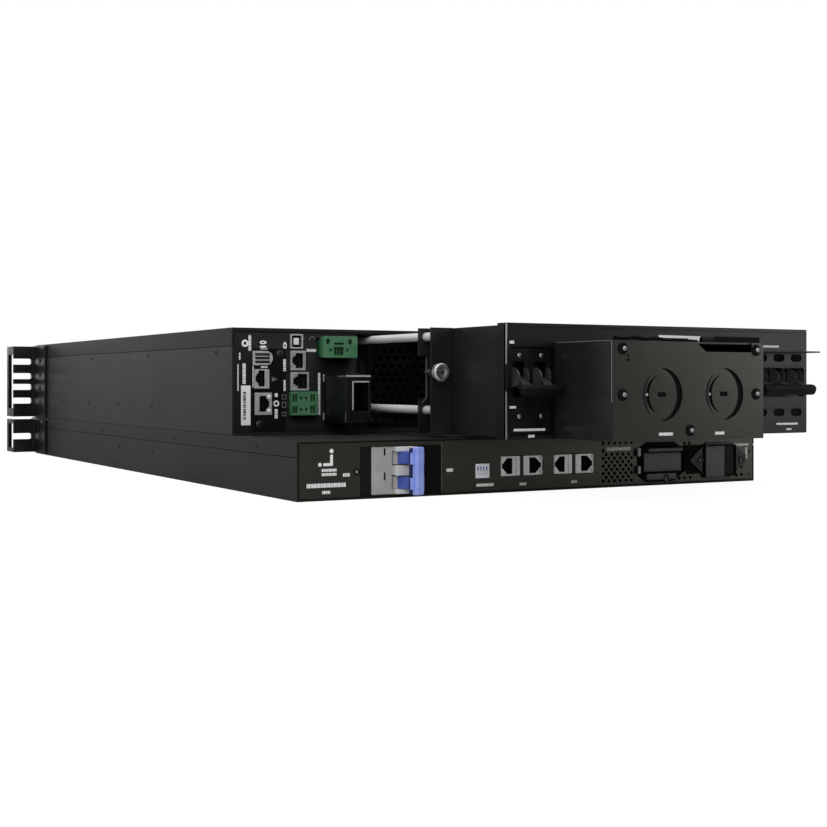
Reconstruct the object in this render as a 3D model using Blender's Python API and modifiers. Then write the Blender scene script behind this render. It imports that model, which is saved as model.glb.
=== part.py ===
"""Rack-mounted uninterruptible power supply: a two-unit UPS above a one-unit battery module.

Lengths are in millimetres and become metres where a mesh or a place is made. Every sub-part is
placed from the rear datum: an empty at the battery module's lower rear corner, on the left when the
unit is seen from behind. From there x runs across to the right, y runs forward into the rack and
z runs up. The empty is turned half round, so the front bezels face -Y in the world.
"""

import math

import bmesh
import bpy
from mathutils import Matrix, Vector

MM = 0.001
GAP = 0.3
SHEET = 1.5

# The stack. One rack unit is 44.45 high, and a body is a little less than its bay.
BODY_W = 430.0
BATTERY_H = 43.0
STACK_H = 128.0
UPS_REAR = 123.6
BODY_FRONT = 751.4
BEZEL_FRONT = 782.5
HANDLE_FRONT = 785.0
POD_REAR = -61.5
BOX_REAR = -130.4
SCREW_HEAD = 2.4
REARMOST = BOX_REAR - SCREW_HEAD
UPS_BASE = BATTERY_H + GAP
UPS_SEAM = 113.4
BATTERY_SEAM = 31.2

# Rack ears: the 19-inch pattern is 482.6 over the ears.
EAR_OVER = (482.6 - BODY_W) / 2
EAR_PLATE = 2.5
EAR_LEG = 52.0
SLOT_HALF_H = 3.5
SLOT_INSET = 8.0
UPS_EAR_SLOTS = (108.5, 91.4, 78.6, 62.4)
BATTERY_EAR_SLOTS = (20.4,)
GRIP_DEPTH = 13.0
GRIP_THICK = 8.0

# Front bezels: air slots in four columns, the display and its buttons as (z, radius).
BEZEL_WALL = 3.0
VENT_W = 62.0
VENT_COLUMNS = (22.0, 92.0, 276.0, 346.0)
UPS_VENT_ROWS = (57.6, 72.6, 87.6, 102.6, 117.6)
BATTERY_VENT_ROWS = (12.0, 22.0, 32.0)
CHASSIS_VENTS = (22.0, 112.0, 238.0, 328.0)
DISPLAY_X = (180.0, 236.0)
DISPLAY_Z = (68.0, 108.0)
BUTTON_X = 255.0
BUTTONS = {"power_button": (98.0, 7.0), "menu_button": (76.0, 5.0)}

# Rear of the UPS.
FAN_POCKET = (110.0, 218.0)
FAN_WALL = 153.0
FAN_CENTRE = (172.0, 85.0)
FAN_SIZE = 76.0
FAN_DEPTH = 25.0
FAN_BORE = 36.5
ROD_X = 125.0
ROD_RADIUS = 3.3
ROD_HEIGHTS = {"upper": 119.9, "lower": 63.4}
FLANGE_Y = 15.0
TAB_Y = 34.0
THUMBSCREW = (123.0, 92.3)

# Ports of the UPS, each as its x range and its z range.
CARD_PLATE = ((16.8, 46.0), (46.6, 111.8))
CARD_USB = ((19.0, 34.0), (100.2, 109.6))
CARD_JACK_UPPER = ((18.8, 31.6), (79.3, 95.2))
CARD_JACK_LOWER = ((18.8, 33.8), (58.6, 76.6))
USB_B = ((49.8, 60.8), (111.4, 123.2))
SERIAL_UPPER = ((49.8, 63.2), (94.2, 110.2))
SERIAL_LOWER = ((49.8, 66.2), (78.2, 93.2))
DRY_CONTACT = ((48.7, 75.7), (57.4, 77.4))
POWER_OFF = ((73.5, 104.0), (105.5, 120.5))
HEADER_DEPTH = 14.8
HEADER_WALL = 1.5
JACK_OPENING = (8.4, 11.6)
JACK_DEPTH = 13.0

# Power distribution box.
POD_LEFT = 136.0
POD_RIGHT = BODY_W
POD_BASE = 43.4
POD_TOP = 127.8
CAP_DEPTH = 11.9
CAP_WALL = 1.2
NECK_LEFT = 222.0
POLE_PITCH = 19.05
BREAKER_RECESS = 3.0
BREAKER_Z = (46.9, 110.2)
TOGGLE_Z = 87.0
OUTPUT_X = 159.0
INPUT_X = 400.2
BOX_LEFT = 178.8
BOX_RIGHT = 317.0
BOX_TOP = 113.7
COVER_NOTCH = ((259.0, 303.0), (106.5, 120.0))
WIRE_ENTRY = ((208.0, 288.0), (56.0, 98.0))
FINGER_NOTCH_Z = (78.5, 97.5)
BOX_BASE = 43.7
KNOCKOUTS = ((221.3, 76.2), (278.4, 76.4))
COVER_SCREWS = ((188.1, 108.3), (188.1, 76.2), (248.3, 50.6), (311.0, 108.3), (311.0, 76.3))
BREAKER_SCREWS_Z = (60.3, 104.5)
GUARD_RIGHT = 377.0
GUARD_Z = (108.6, 120.3)

# Toggles of all three breakers: the arm's length, half of its swing, and how deep it pivots.
TOGGLE_REACH = 21.8
TOGGLE_HALF_SWING = 22.0
TOGGLE_PIVOT_DEPTH = 5.5
TOGGLE_SLOT_DEPTH = 11.5

# Rear of the battery module.
DIN_X = (60.0, 105.0)
DIN_Z = (2.4, 37.8)
DIN_FACE = 1.0
COM_JACKS = {"left": (171.4, 209.3), "right": (220.7, 258.7)}
COM_JACK_Z = (12.6, 27.9)
ADDRESS_SWITCH = ((148.6, 160.7), (11.8, 22.8))
ADDRESS_PITCH = 2.54

# Capped battery connectors: the rim's and the cap's x and z ranges.
CONNECTOR_RIMS = {"left": ((302.0, 351.0), (7.2, 31.4)), "right": ((373.7, 409.5), (6.6, 33.0))}
CONNECTOR_CAPS = {"left": ((308.0, 348.0), (11.3, 27.4)), "right": ((376.2, 407.2), (9.2, 30.4))}
RIM_WALL = 1.6
CONNECTOR_FLANGES = {
    "left": ((304, 10), (318, 2.8), (345, 2.8), (350, 10), (350, 30), (340, 36), (314, 36), (304, 30)),
    "right": ((376, 4.5), (408, 4.5), (426, 19.5), (408, 34.5), (376, 34.5), (357, 19.5)),
}

SCENE_NAME = "uninterruptible_power_supply"


def clear_scene():
    for old in list(bpy.data.objects):
        bpy.data.objects.remove(old, do_unlink=True)


def new_collection(name):
    group = bpy.data.collections.new(name)
    bpy.context.scene.collection.children.link(group)
    return group


def make_datum():
    """The rear datum, with its x across, y forward and z up when seen from behind."""
    middle = (REARMOST + HANDLE_FRONT) / 2
    datum = bpy.data.objects.new("rear_datum", None)
    datum.location = Vector((BODY_W / 2, middle, 0.0)) * MM
    datum.rotation_euler = (0.0, 0.0, math.pi)
    PARTS.objects.link(datum)
    return datum


def make_material(name, colour, roughness, metallic=0.0):
    material = bpy.data.materials.new(name)
    material.use_nodes = True
    shader = material.node_tree.nodes["Principled BSDF"]
    shader.inputs["Base Color"].default_value = (*colour, 1.0)
    shader.inputs["Roughness"].default_value = roughness
    shader.inputs["Metallic"].default_value = metallic
    material.diffuse_color = (*colour, 1.0)
    return material


clear_scene()
PARTS = new_collection(SCENE_NAME)
CUTTERS = new_collection("cutters")
DATUM = make_datum()

LOOKS = {
    "black_steel": make_material("black_steel", (0.030, 0.030, 0.031), 0.48),
    "satin_black": make_material("satin_black", (0.018, 0.018, 0.019), 0.42),
    "black_plastic": make_material("black_plastic", (0.014, 0.014, 0.015), 0.38),
    "grey_plastic": make_material("grey_plastic", (0.55, 0.55, 0.53), 0.45),
    "blue_plastic": make_material("blue_plastic", (0.16, 0.26, 0.80), 0.35),
    "green_plastic": make_material("green_plastic", (0.05, 0.33, 0.15), 0.40),
    "white_plastic": make_material("white_plastic", (0.80, 0.80, 0.80), 0.40),
    "screen_glass": make_material("screen_glass", (0.02, 0.03, 0.05), 0.10),
    "connector_shell": make_material("connector_shell", (0.62, 0.62, 0.60), 0.32, 1.0),
    "chrome_steel": make_material("chrome_steel", (0.80, 0.80, 0.80), 0.12, 1.0),
    "bare_aluminium": make_material("bare_aluminium", (0.60, 0.61, 0.62), 0.35, 1.0),
    "circuit_board": make_material("circuit_board", (0.02, 0.16, 0.06), 0.45),
    "cell_wrap": make_material("cell_wrap", (0.05, 0.12, 0.30), 0.40),
}


# Making solids


def middle_of(low, high):
    return (Vector(low) + Vector(high)) / 2


def add_box(bm, low, high, origin):
    """A cube primitive, scaled and moved to span two corners."""
    size = Vector(high) - Vector(low)
    made = bmesh.ops.create_cube(bm, size=1.0)
    bmesh.ops.scale(bm, vec=size * MM, verts=made["verts"])
    bmesh.ops.translate(bm, vec=(middle_of(low, high) - Vector(origin)) * MM, verts=made["verts"])


def add_round(bm, centre, axis, radius, length, origin, sides):
    """A cylinder primitive, centred on a point and turned to lie along x, y or z."""
    turn = {"x": Matrix.Rotation(math.pi / 2, 4, "Y"), "y": Matrix.Rotation(math.pi / 2, 4, "X")}
    place = Matrix.Translation((Vector(centre) - Vector(origin)) * MM)
    bmesh.ops.create_cone(
        bm,
        cap_ends=True,
        segments=sides,
        radius1=radius * MM,
        radius2=radius * MM,
        depth=length * MM,
        matrix=place @ turn.get(axis, Matrix()),
    )


def to_object(name, bm, origin, group, parent):
    mesh = bpy.data.meshes.new(name)
    bm.to_mesh(mesh)
    bm.free()
    thing = bpy.data.objects.new(name, mesh)
    thing.location = Vector(origin) * MM
    thing.parent = parent
    group.objects.link(thing)
    return thing


def finish_part(thing, look):
    thing.data.materials.append(LOOKS[look])
    return thing


def block(name, low, high, look, origin=None):
    """A solid box between two corners of the datum's axes."""
    origin = middle_of(low, high) if origin is None else origin
    bm = bmesh.new()
    add_box(bm, low, high, origin)
    return finish_part(to_object(name, bm, origin, PARTS, DATUM), look)


def bar(name, centre, axis, radius, length, look, sides=24):
    """A solid cylinder along x, y or z."""
    bm = bmesh.new()
    add_round(bm, centre, axis, radius, length, centre, sides)
    part = finish_part(to_object(name, bm, centre, PARTS, DATUM), look)
    part.data.shade_smooth()
    part.data.set_sharp_from_angle(angle=math.radians(40))
    return part


def boolean(part, tool, operation):
    """Adds an exact boolean, with its tool hidden and in the part's own axes."""
    tool.parent = part
    tool.hide_render = True
    tool.display_type = "WIRE"
    modifier = part.modifiers.new(tool.name, "BOOLEAN")
    modifier.operation = operation
    modifier.solver = "EXACT"
    modifier.object = tool
    return part


def tool_name(part, what):
    return f"{part.name}_{what}_{len(part.modifiers)}"


def part_origin(part):
    return part.location / MM


def carve(part, *boxes):
    """Cuts boxes that don't touch each other out of a part, all in one boolean."""
    bm = bmesh.new()
    for low, high in boxes:
        add_box(bm, low, high, part_origin(part))
    tool = to_object(tool_name(part, "opening"), bm, (0, 0, 0), CUTTERS, part)
    return boolean(part, tool, "DIFFERENCE")


def drill(part, axis, radius, length, *centres, sides=20):
    """Cuts round holes that don't touch each other out of a part."""
    bm = bmesh.new()
    for centre in centres:
        add_round(bm, centre, axis, radius, length, part_origin(part), sides)
    tool = to_object(tool_name(part, "hole"), bm, (0, 0, 0), CUTTERS, part)
    return boolean(part, tool, "DIFFERENCE")


def fuse(part, low, high):
    """Joins a box that runs into the part onto it."""
    bm = bmesh.new()
    add_box(bm, low, high, part_origin(part))
    tool = to_object(tool_name(part, "piece"), bm, (0, 0, 0), CUTTERS, part)
    return boolean(part, tool, "UNION")


def fuse_round(part, centre, axis, radius, length, sides=20):
    bm = bmesh.new()
    add_round(bm, centre, axis, radius, length, part_origin(part), sides)
    tool = to_object(tool_name(part, "piece"), bm, (0, 0, 0), CUTTERS, part)
    return boolean(part, tool, "UNION")


def soften(part, width, segments=1):
    """Breaks a part's sharp outer edges."""
    modifier = part.modifiers.new("softened_edges", "BEVEL")
    modifier.width = width * MM
    modifier.segments = segments
    modifier.limit_method = "ANGLE"
    modifier.angle_limit = math.radians(50)
    return part


# Casings


def make_ups_casing():
    """The UPS tub, its lid and the folded sheet that closes the rear."""
    inner_left = SHEET
    inner_right = BODY_W - SHEET
    tub_top = UPS_SEAM - GAP
    floor = UPS_BASE + SHEET
    front_wall = BODY_FRONT - SHEET
    low = (0, UPS_REAR, UPS_BASE)
    chassis = block("ups_chassis", low, (BODY_W, BODY_FRONT, tub_top), "black_steel")
    carve(chassis, ((inner_left, UPS_REAR - 5, floor), (inner_right, front_wall, tub_top + 5)))
    vent_w = 80
    vent_z = (56, 102)
    vents = [
        ((left, front_wall - 5, vent_z[0]), (left + vent_w, BODY_FRONT + 5, vent_z[1]))
        for left in CHASSIS_VENTS
    ]
    carve(chassis, *vents)

    lid_plate = STACK_H - SHEET
    lip = STACK_H - 3.4
    low = (0, UPS_REAR, UPS_SEAM)
    lid = block("ups_top_cover", low, (BODY_W, BODY_FRONT, STACK_H), "black_steel")
    below = UPS_SEAM - 5
    carve(lid, ((inner_left, UPS_REAR + SHEET, below), (inner_right, BODY_FRONT + 5, lid_plate)))
    carve(lid, ((inner_left, UPS_REAR - 5, below), (inner_right, UPS_REAR + SHEET + 5, lip)))

    left = inner_left + GAP
    right = inner_right - GAP
    base = floor + GAP
    top = lip - GAP
    pocket_left, pocket_right = FAN_POCKET
    back = FAN_WALL + SHEET
    panel = block("ups_rear_panel", (left, UPS_REAR, base), (right, back, top), "black_steel")
    carve(
        panel,
        ((left - 5, UPS_REAR + SHEET, base - 5), (pocket_left - SHEET, back + 5, top + 5)),
        ((pocket_left, UPS_REAR - 5, base - 5), (pocket_right, FAN_WALL, top + 5)),
        ((pocket_right + SHEET, UPS_REAR + SHEET, base - 5), (right + 5, back + 5, top + 5)),
    )
    return panel


def make_battery_casing():
    """The battery module's tub, lid and rear panel."""
    inner_left = SHEET
    inner_right = BODY_W - SHEET
    tub_top = BATTERY_SEAM - GAP / 2
    front_wall = BODY_FRONT - SHEET
    chassis = block("battery_chassis", (0, 0, 0), (BODY_W, BODY_FRONT, tub_top), "black_steel")
    carve(chassis, ((inner_left, -5, SHEET), (inner_right, front_wall, tub_top + 5)))

    lid_base = BATTERY_SEAM + GAP / 2
    low = (0, 0, lid_base)
    lid = block("battery_top_cover", low, (BODY_W, BODY_FRONT, BATTERY_H), "black_steel")
    lid_plate = BATTERY_H - SHEET
    carve(lid, ((inner_left, -5, lid_base - 5), (inner_right, BODY_FRONT + 5, lid_plate)))

    low = (inner_left + GAP, 0, SHEET + GAP)
    high = (inner_right - GAP, SHEET, lid_plate - GAP)
    return block("battery_rear_panel", low, high, "satin_black")


def make_ear(name, side, low_z, high_z, slots, arm):
    """A rack ear: a slotted plate, a leg along the flank and a pull handle in front of the plate.

    side is -1 for the flank at x = 0 and 1 for the flank at x = BODY_W.
    """
    flank = 0.0 if side < 0 else BODY_W

    def across(inner, outer):
        """The x range between two distances outwards from the flank."""
        ends = (flank + side * inner, flank + side * outer)
        return min(ends), max(ends)

    def span(inner, outer, near, far, low, high):
        x_low, x_high = across(inner, outer)
        return (x_low, near, low), (x_high, far, high)

    plate_back = BODY_FRONT
    plate_front = BODY_FRONT + EAR_PLATE
    ear = block(name, *span(GAP, EAR_OVER, plate_back, plate_front, low_z, high_z), "satin_black")
    fuse(ear, *span(GAP, GAP + EAR_PLATE, plate_back - EAR_LEG, plate_front, low_z, high_z))
    grip_inner = EAR_OVER - GRIP_THICK
    fuse(ear, *span(grip_inner, EAR_OVER, BODY_FRONT + 1, HANDLE_FRONT, low_z, high_z))
    hollow = (plate_front, HANDLE_FRONT - GRIP_DEPTH, low_z + arm, high_z - arm)
    carve(ear, *[span(grip_inner - 5, EAR_OVER + 5, *hollow)])
    through = (plate_back - 5, plate_front + 5)
    slot_boxes = [
        span(SLOT_INSET, EAR_OVER + 5, *through, z - SLOT_HALF_H, z + SLOT_HALF_H) for z in slots
    ]
    carve(ear, *slot_boxes)
    slot_end_x = flank + side * SLOT_INSET
    ends = [(slot_end_x, BODY_FRONT + EAR_PLATE / 2, z) for z in slots]
    drill(ear, "y", SLOT_HALF_H, EAR_PLATE + 4, *ends, sides=12)
    return ear


def make_ears():
    for label, side in (("left", -1), ("right", 1)):
        make_ear(f"ups_ear_{label}", side, 43.6, 126.5, UPS_EAR_SLOTS, 10.0)
        make_ear(f"battery_ear_{label}", side, 1.6, 40.6, BATTERY_EAR_SLOTS, 5.2)


def make_bezel(name, low_z, high_z, vent_rows, vent_half_h):
    """A hollow moulded front, open to the rear, with four columns of air slots."""
    back = BODY_FRONT + EAR_PLATE
    side = 0.5
    bezel = block(name, (side, back, low_z), (BODY_W - side, BEZEL_FRONT, high_z), "black_plastic")
    soften(bezel, BEZEL_WALL)
    inner_low = (BEZEL_WALL, back - 5, low_z + BEZEL_WALL)
    inner_high = (BODY_W - BEZEL_WALL, BEZEL_FRONT - BEZEL_WALL, high_z - BEZEL_WALL)
    carve(bezel, (inner_low, inner_high))
    vents = [
        ((left, BEZEL_FRONT - 10, z - vent_half_h), (left + VENT_W, BEZEL_FRONT + 5, z + vent_half_h))
        for z in vent_rows
        for left in VENT_COLUMNS
    ]
    return carve(bezel, *vents)


def make_bezels():
    """The moulded fronts of both units, the display and its buttons."""
    bezel = make_bezel("ups_front_bezel", UPS_BASE + GAP, STACK_H - GAP, UPS_VENT_ROWS, 4.0)
    left, right = DISPLAY_X
    base, top = DISPLAY_Z
    opening_low = (left - GAP, BEZEL_FRONT - 10, base - GAP)
    carve(bezel, (opening_low, (right + GAP, BEZEL_FRONT + 5, top + GAP)))
    screen_low = (left, BEZEL_FRONT - BEZEL_WALL, base)
    block("display_screen", screen_low, (right, BEZEL_FRONT - 0.6, top), "screen_glass")
    button_front = HANDLE_FRONT - 0.5
    button_depth = 7.0
    for name, (z, radius) in BUTTONS.items():
        centre = (BUTTON_X, button_front - button_depth / 2, z)
        bar(name, centre, "y", radius, button_depth, "black_plastic")
        drill(bezel, "y", radius + 0.4, 20, (BUTTON_X, BEZEL_FRONT, z), sides=24)
    make_bezel("battery_front_bezel", 1.2, BATTERY_H - GAP, BATTERY_VENT_ROWS, 3.0)


# Sockets and plugs


def make_socket(name, low, high, pocket_low, pocket_high, look):
    """A connector body with a pocket that opens to the rear."""
    return carve(block(name, low, high, look), (pocket_low, pocket_high))


def make_jack(name, place, face):
    """A modular data socket turned on its side, with its cavity in the middle."""
    (x_low, x_high), (z_low, z_high) = place
    rim_x = (x_high - x_low - JACK_OPENING[0]) / 2
    rim_z = (z_high - z_low - JACK_OPENING[1]) / 2
    return make_socket(
        name,
        (x_low, face, z_low),
        (x_high, face + JACK_DEPTH + 4.0, z_high),
        (x_low + rim_x, face - 5, z_low + rim_z),
        (x_high - rim_x, face + JACK_DEPTH, z_high - rim_z),
        "connector_shell",
    )


def window(place, clearance=GAP):
    """A box through the UPS rear panel around a connector."""
    (x_low, x_high), (z_low, z_high) = place
    return (
        (x_low - clearance, UPS_REAR - 5, z_low - clearance),
        (x_high + clearance, UPS_REAR + 5, z_high + clearance),
    )


def make_network_card(panel):
    """The plug-in card: its plate, a stacked USB port and two data sockets."""
    plate_rear = UPS_REAR - 1.2
    face = plate_rear - 0.3
    (left, right), (base, top) = CARD_PLATE
    plate_front = UPS_REAR - GAP
    plate = block("network_card_plate", (left, plate_rear, base), (right, plate_front, top), "satin_black")
    openings = (CARD_USB, CARD_JACK_UPPER, CARD_JACK_LOWER)
    carve(plate, *[window(place) for place in openings])
    carve(panel, *[window(place, clearance=0.8) for place in openings])
    make_jack("card_jack_upper", CARD_JACK_UPPER, face)
    make_jack("card_jack_lower", CARD_JACK_LOWER, face)

    (left, right), (base, top) = CARD_USB
    port = block("card_usb_port", (left, face, base), (right, face + 14, top), "connector_shell")
    rim = 0.8
    gap_h = 1.7
    gap_pitch = 2.95
    gaps = []
    for row in range(3):
        gap_base = base + 0.9 + gap_pitch * row
        gaps.append(((left + rim, face - 5, gap_base), (right - rim, face + 11, gap_base + gap_h)))
    carve(port, *gaps)


def make_port_column(panel):
    """The fixed ports beside the card: USB-B and two serial sockets."""
    face = UPS_REAR - 0.6
    carve(panel, window(USB_B), window(SERIAL_UPPER), window(SERIAL_LOWER))
    (left, right), (base, top) = USB_B
    port = block("usb_b_port", (left, face, base), (right, face + 15, top), "connector_shell")
    rim = 1.4
    carve(port, ((left + rim, face - 5, base + rim), (right - rim, face + 9, top - rim)))
    tongue_in = 3.4
    tongue_low = (left + tongue_in, face + 1, base + tongue_in)
    fuse(port, tongue_low, (right - tongue_in, face + 10, top - tongue_in))
    make_jack("serial_jack_upper", SERIAL_UPPER, face)
    make_jack("serial_jack_lower", SERIAL_LOWER, face)


def make_header(name, place, rear):
    """A terminal header through the panel, with a pocket for its plug."""
    (left, right), (base, top) = place
    front = UPS_REAR - 1.4 + HEADER_DEPTH
    pocket_low = (left + HEADER_WALL, 100.0, base + HEADER_WALL)
    pocket_high = (right - HEADER_WALL, front - 3.0, top - HEADER_WALL)
    low = (left, rear, base)
    return make_socket(name, low, (right, front, top), pocket_low, pocket_high, "green_plastic")


def make_pluggable_terminals(panel):
    """The dry-contact and emergency power-off terminals: fixed headers and pull-off plugs."""
    carve(panel, window(DRY_CONTACT), window(POWER_OFF))
    make_header("dry_contact_header", DRY_CONTACT, 122.2)
    make_header("power_off_header", POWER_OFF, 122.0)
    plug_front = 133.0
    inset = HEADER_WALL + GAP

    (left, right), (base, top) = DRY_CONTACT
    low = (left + inset, 119.4, base + inset)
    block("dry_contact_plug", low, (right - inset, plug_front, top - inset), "green_plastic")

    (left, right), (base, top) = POWER_OFF
    overhang_x = 2.0
    overhang_z = 1.5
    low = (left - overhang_x, 114.5, base - overhang_z)
    high = (right + overhang_x, 121.7, top + overhang_z)
    plug = block("power_off_plug", low, high, "green_plastic")
    fuse(plug, (left + inset, 118.0, base + inset), (right - inset, plug_front, top - inset))


def make_battery_cable_socket():
    make_socket(
        "battery_cable_socket",
        (79.5, 83.0, 51.8),
        (102.5, UPS_REAR - GAP, 90.8),
        (86.8, 70.0, 61.6),
        (99.8, 108.0, 84.4),
        "black_plastic",
    )


# Cooling and power stage


def make_fan(panel):
    """The exhaust fan behind its guard: a square frame with a spoked rear and a bladed rotor."""
    x, z = FAN_CENTRE
    half = FAN_SIZE / 2
    near = FAN_WALL + SHEET + GAP
    far = near + FAN_DEPTH
    drill(panel, "y", FAN_BORE, 20, (x, FAN_WALL, z), sides=32)
    frame = block("fan_frame", (x - half, near, z - half), (x + half, far, z + half), "black_plastic")
    drill(frame, "y", FAN_BORE, FAN_DEPTH + 10, (x, (near + far) / 2, z), sides=32)
    fuse(frame, (x - half + 1, far - 3, z - 3), (x + half - 1, far, z + 3))
    fuse(frame, (x - 3, far - 3, z - half + 1), (x + 3, far, z + half - 1))

    rotor_depth = FAN_DEPTH - 6
    mid_y = near + 1 + rotor_depth / 2
    rotor = bar("fan_rotor", (x, mid_y, z), "y", 16.0, rotor_depth, "black_plastic", sides=24)
    blades = 7
    blade_half = rotor_depth / 2 - 2
    for number in range(blades):
        bm = bmesh.new()
        add_box(bm, (10, -blade_half, -1), (34, blade_half, 1), (0, 0, 0))
        lean = Matrix.Rotation(math.radians(32), 4, "X")
        around = Matrix.Rotation(2 * math.pi * number / blades, 4, "Y")
        bmesh.ops.transform(bm, matrix=around @ lean, verts=bm.verts[:])
        tool = to_object(f"fan_rotor_blade_{number}", bm, (0, 0, 0), CUTTERS, rotor)
        boolean(rotor, tool, "UNION")

    guard_low = (x - half, FAN_WALL - GAP - 1.0, z - half + 1)
    guard_high = (x + half, FAN_WALL - GAP, z + half - 1)
    guard = block("fan_grille", guard_low, guard_high, "satin_black")
    slots = []
    for column in range(6):
        left = x - half + 6 + 11 * column
        slots.append(((left, FAN_WALL - 6, z - half + 6), (left + 3.6, FAN_WALL, z + half - 6)))
    carve(guard, *slots)


def make_power_stage():
    """The main board with a finned heat sink and a transformer standing over it."""
    board_top = 53.6
    block("power_board", (20, 200, board_top - 1.6), (410, 700, board_top), "circuit_board")
    sink_base = board_top + GAP
    sink = block("heat_sink", (150, 260, sink_base), (270, 620, 118), "bare_aluminium")
    fin_pitch = 14
    fin_gap = 10
    channels = []
    for number in range(8):
        left = 158 + fin_pitch * number
        channels.append(((left, 250, sink_base + 8), (left + fin_gap, 630, 125)))
    carve(sink, *channels)
    core = block("transformer", (310, 300, sink_base), (390, 400, 112), "black_steel")
    fuse(core, (304, 320, sink_base + 10), (396, 380, 104))


def make_battery_contents():
    block("cell_pack", (18, 170, 4.0), (412, 735, 39.0), "cell_wrap")
    block("battery_control_board", (130, 62, 8.0), (420, 150, 9.6), "circuit_board")


# Rods and their bracket


def make_rods_and_bracket():
    """Two bright rods from the fan wall to a folded bracket on the distribution box."""
    right = POD_LEFT + 1.5 - GAP
    left = 118.0
    base = 45.0
    top = 126.5
    high = (right, TAB_Y + SHEET, top)
    bracket = block("thumbscrew_bracket", (left, FLANGE_Y, base), high, "black_steel")
    carve(bracket, ((left - 5, FLANGE_Y + SHEET, base - 5), (right - SHEET, TAB_Y, top + 5)))
    cutaway = (left - 5, TAB_Y - 1, 72.0), (ROD_X, TAB_Y + 5, 105.0)
    carve(bracket, cutaway)
    holes = [(ROD_X, TAB_Y + SHEET / 2, z) for z in ROD_HEIGHTS.values()]
    drill(bracket, "y", ROD_RADIUS + GAP, 6, *holes)
    screw_x, screw_z = THUMBSCREW
    drill(bracket, "y", 2.9, 8, (screw_x, FLANGE_Y + SHEET / 2, screw_z))

    rod_start = FLANGE_Y + SHEET + GAP
    rod_end = FAN_WALL - GAP
    for label, z in ROD_HEIGHTS.items():
        centre = (ROD_X, (rod_start + rod_end) / 2, z)
        bar(f"guide_rod_{label}", centre, "y", ROD_RADIUS, rod_end - rod_start, "chrome_steel", sides=20)

    head = 8.7
    head_rear = FLANGE_Y - GAP - head
    centre = (screw_x, head_rear + head / 2, screw_z)
    screw = bar("thumbscrew", centre, "y", 7.8, head, "chrome_steel", sides=28)
    fuse_round(screw, (screw_x, FLANGE_Y + 6, screw_z), "y", 2.5, 18, sides=14)
    slot_low = (screw_x - 5, head_rear - 3, screw_z - 0.9)
    carve(screw, (slot_low, (screw_x + 5, head_rear + 2, screw_z + 0.9)))


# Power distribution box


def make_toggle(name, pivot, poles, pitch, arm_half, bar_size, look):
    """A breaker handle: one arm a pole, a hub on each arm and a tie bar across them.

    It points straight out of the panel, with its hubs on the object's origin.
    """
    bar_overhang, bar_depth, bar_height = bar_size
    half_w = (poles - 1) * pitch / 2 + arm_half + bar_overhang
    bm = bmesh.new()
    bar_low = (-half_w, -TOGGLE_REACH - bar_depth / 2, -bar_height / 2)
    bar_high = (half_w, -TOGGLE_REACH + bar_depth / 2, bar_height / 2)
    add_box(bm, bar_low, bar_high, (0, 0, 0))
    handle = finish_part(to_object(name, bm, (0, 0, 0), PARTS, DATUM), look)
    for pole in range(poles):
        x = (pole - (poles - 1) / 2) * pitch
        fuse(handle, (x - arm_half, -TOGGLE_REACH, -2.6), (x + arm_half, 0, 2.6))
        fuse_round(handle, (x, 0, 0), "x", 4.0, 2 * arm_half - 0.8, sides=16)
    handle.location = Vector(pivot) * MM
    return handle


def toggle_slot(x, z, face, half_w, half_h):
    return (x - half_w, face - 5, z - half_h), (x + half_w, face + TOGGLE_SLOT_DEPTH, z + half_h)


def make_pod_breaker(name, centre_x, poles):
    """A panel breaker behind the rear cap, with a slot and a toggle arm for each pole."""
    face = POD_REAR + BREAKER_RECESS
    half_w = poles * POLE_PITCH / 2
    case_inside = POD_RIGHT - CAP_WALL - SHEET - 2 * GAP
    low = (centre_x - half_w, face, BREAKER_Z[0])
    high = (min(centre_x + half_w, case_inside), 0.0, BREAKER_Z[1])
    body = block(f"{name}_body", low, high, "black_plastic")
    centres = [centre_x + (pole - (poles - 1) / 2) * POLE_PITCH for pole in range(poles)]
    carve(body, *[toggle_slot(x, TOGGLE_Z, face, 5.2, 12.5) for x in centres])
    pivot = (centre_x, face + TOGGLE_PIVOT_DEPTH, TOGGLE_Z)
    bar_size = (5.0, 8.0, 8.6)
    handle = make_toggle(f"{name}_handle", pivot, poles, POLE_PITCH, 3.6, bar_size, "black_plastic")
    handle.rotation_euler = (math.radians(TOGGLE_HALF_SWING), 0.0, 0.0)


def make_pod_case():
    """The shell, which nests in the cap at the rear, and its neck to the UPS."""
    step = CAP_WALL + GAP
    left = POD_LEFT + step
    right = POD_RIGHT - step
    base = POD_BASE + step
    top = POD_TOP - step
    rear = POD_REAR + CAP_WALL + GAP
    front = 16.2
    case = block("pod_case", (left, rear, base), (right, front, top), "black_steel")
    fuse(case, (NECK_LEFT, front - 6, base + 2), (right - 1, UPS_REAR - GAP, top - 3))
    inner_front = front - SHEET
    carve(case, ((left + SHEET, rear - 5, base + SHEET), (right - SHEET, inner_front, top - SHEET)))
    neck_low = (NECK_LEFT + SHEET, inner_front - 0.7, base + 4)
    carve(case, (neck_low, (right - 3, UPS_REAR + 5, top - 5)))


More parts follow.
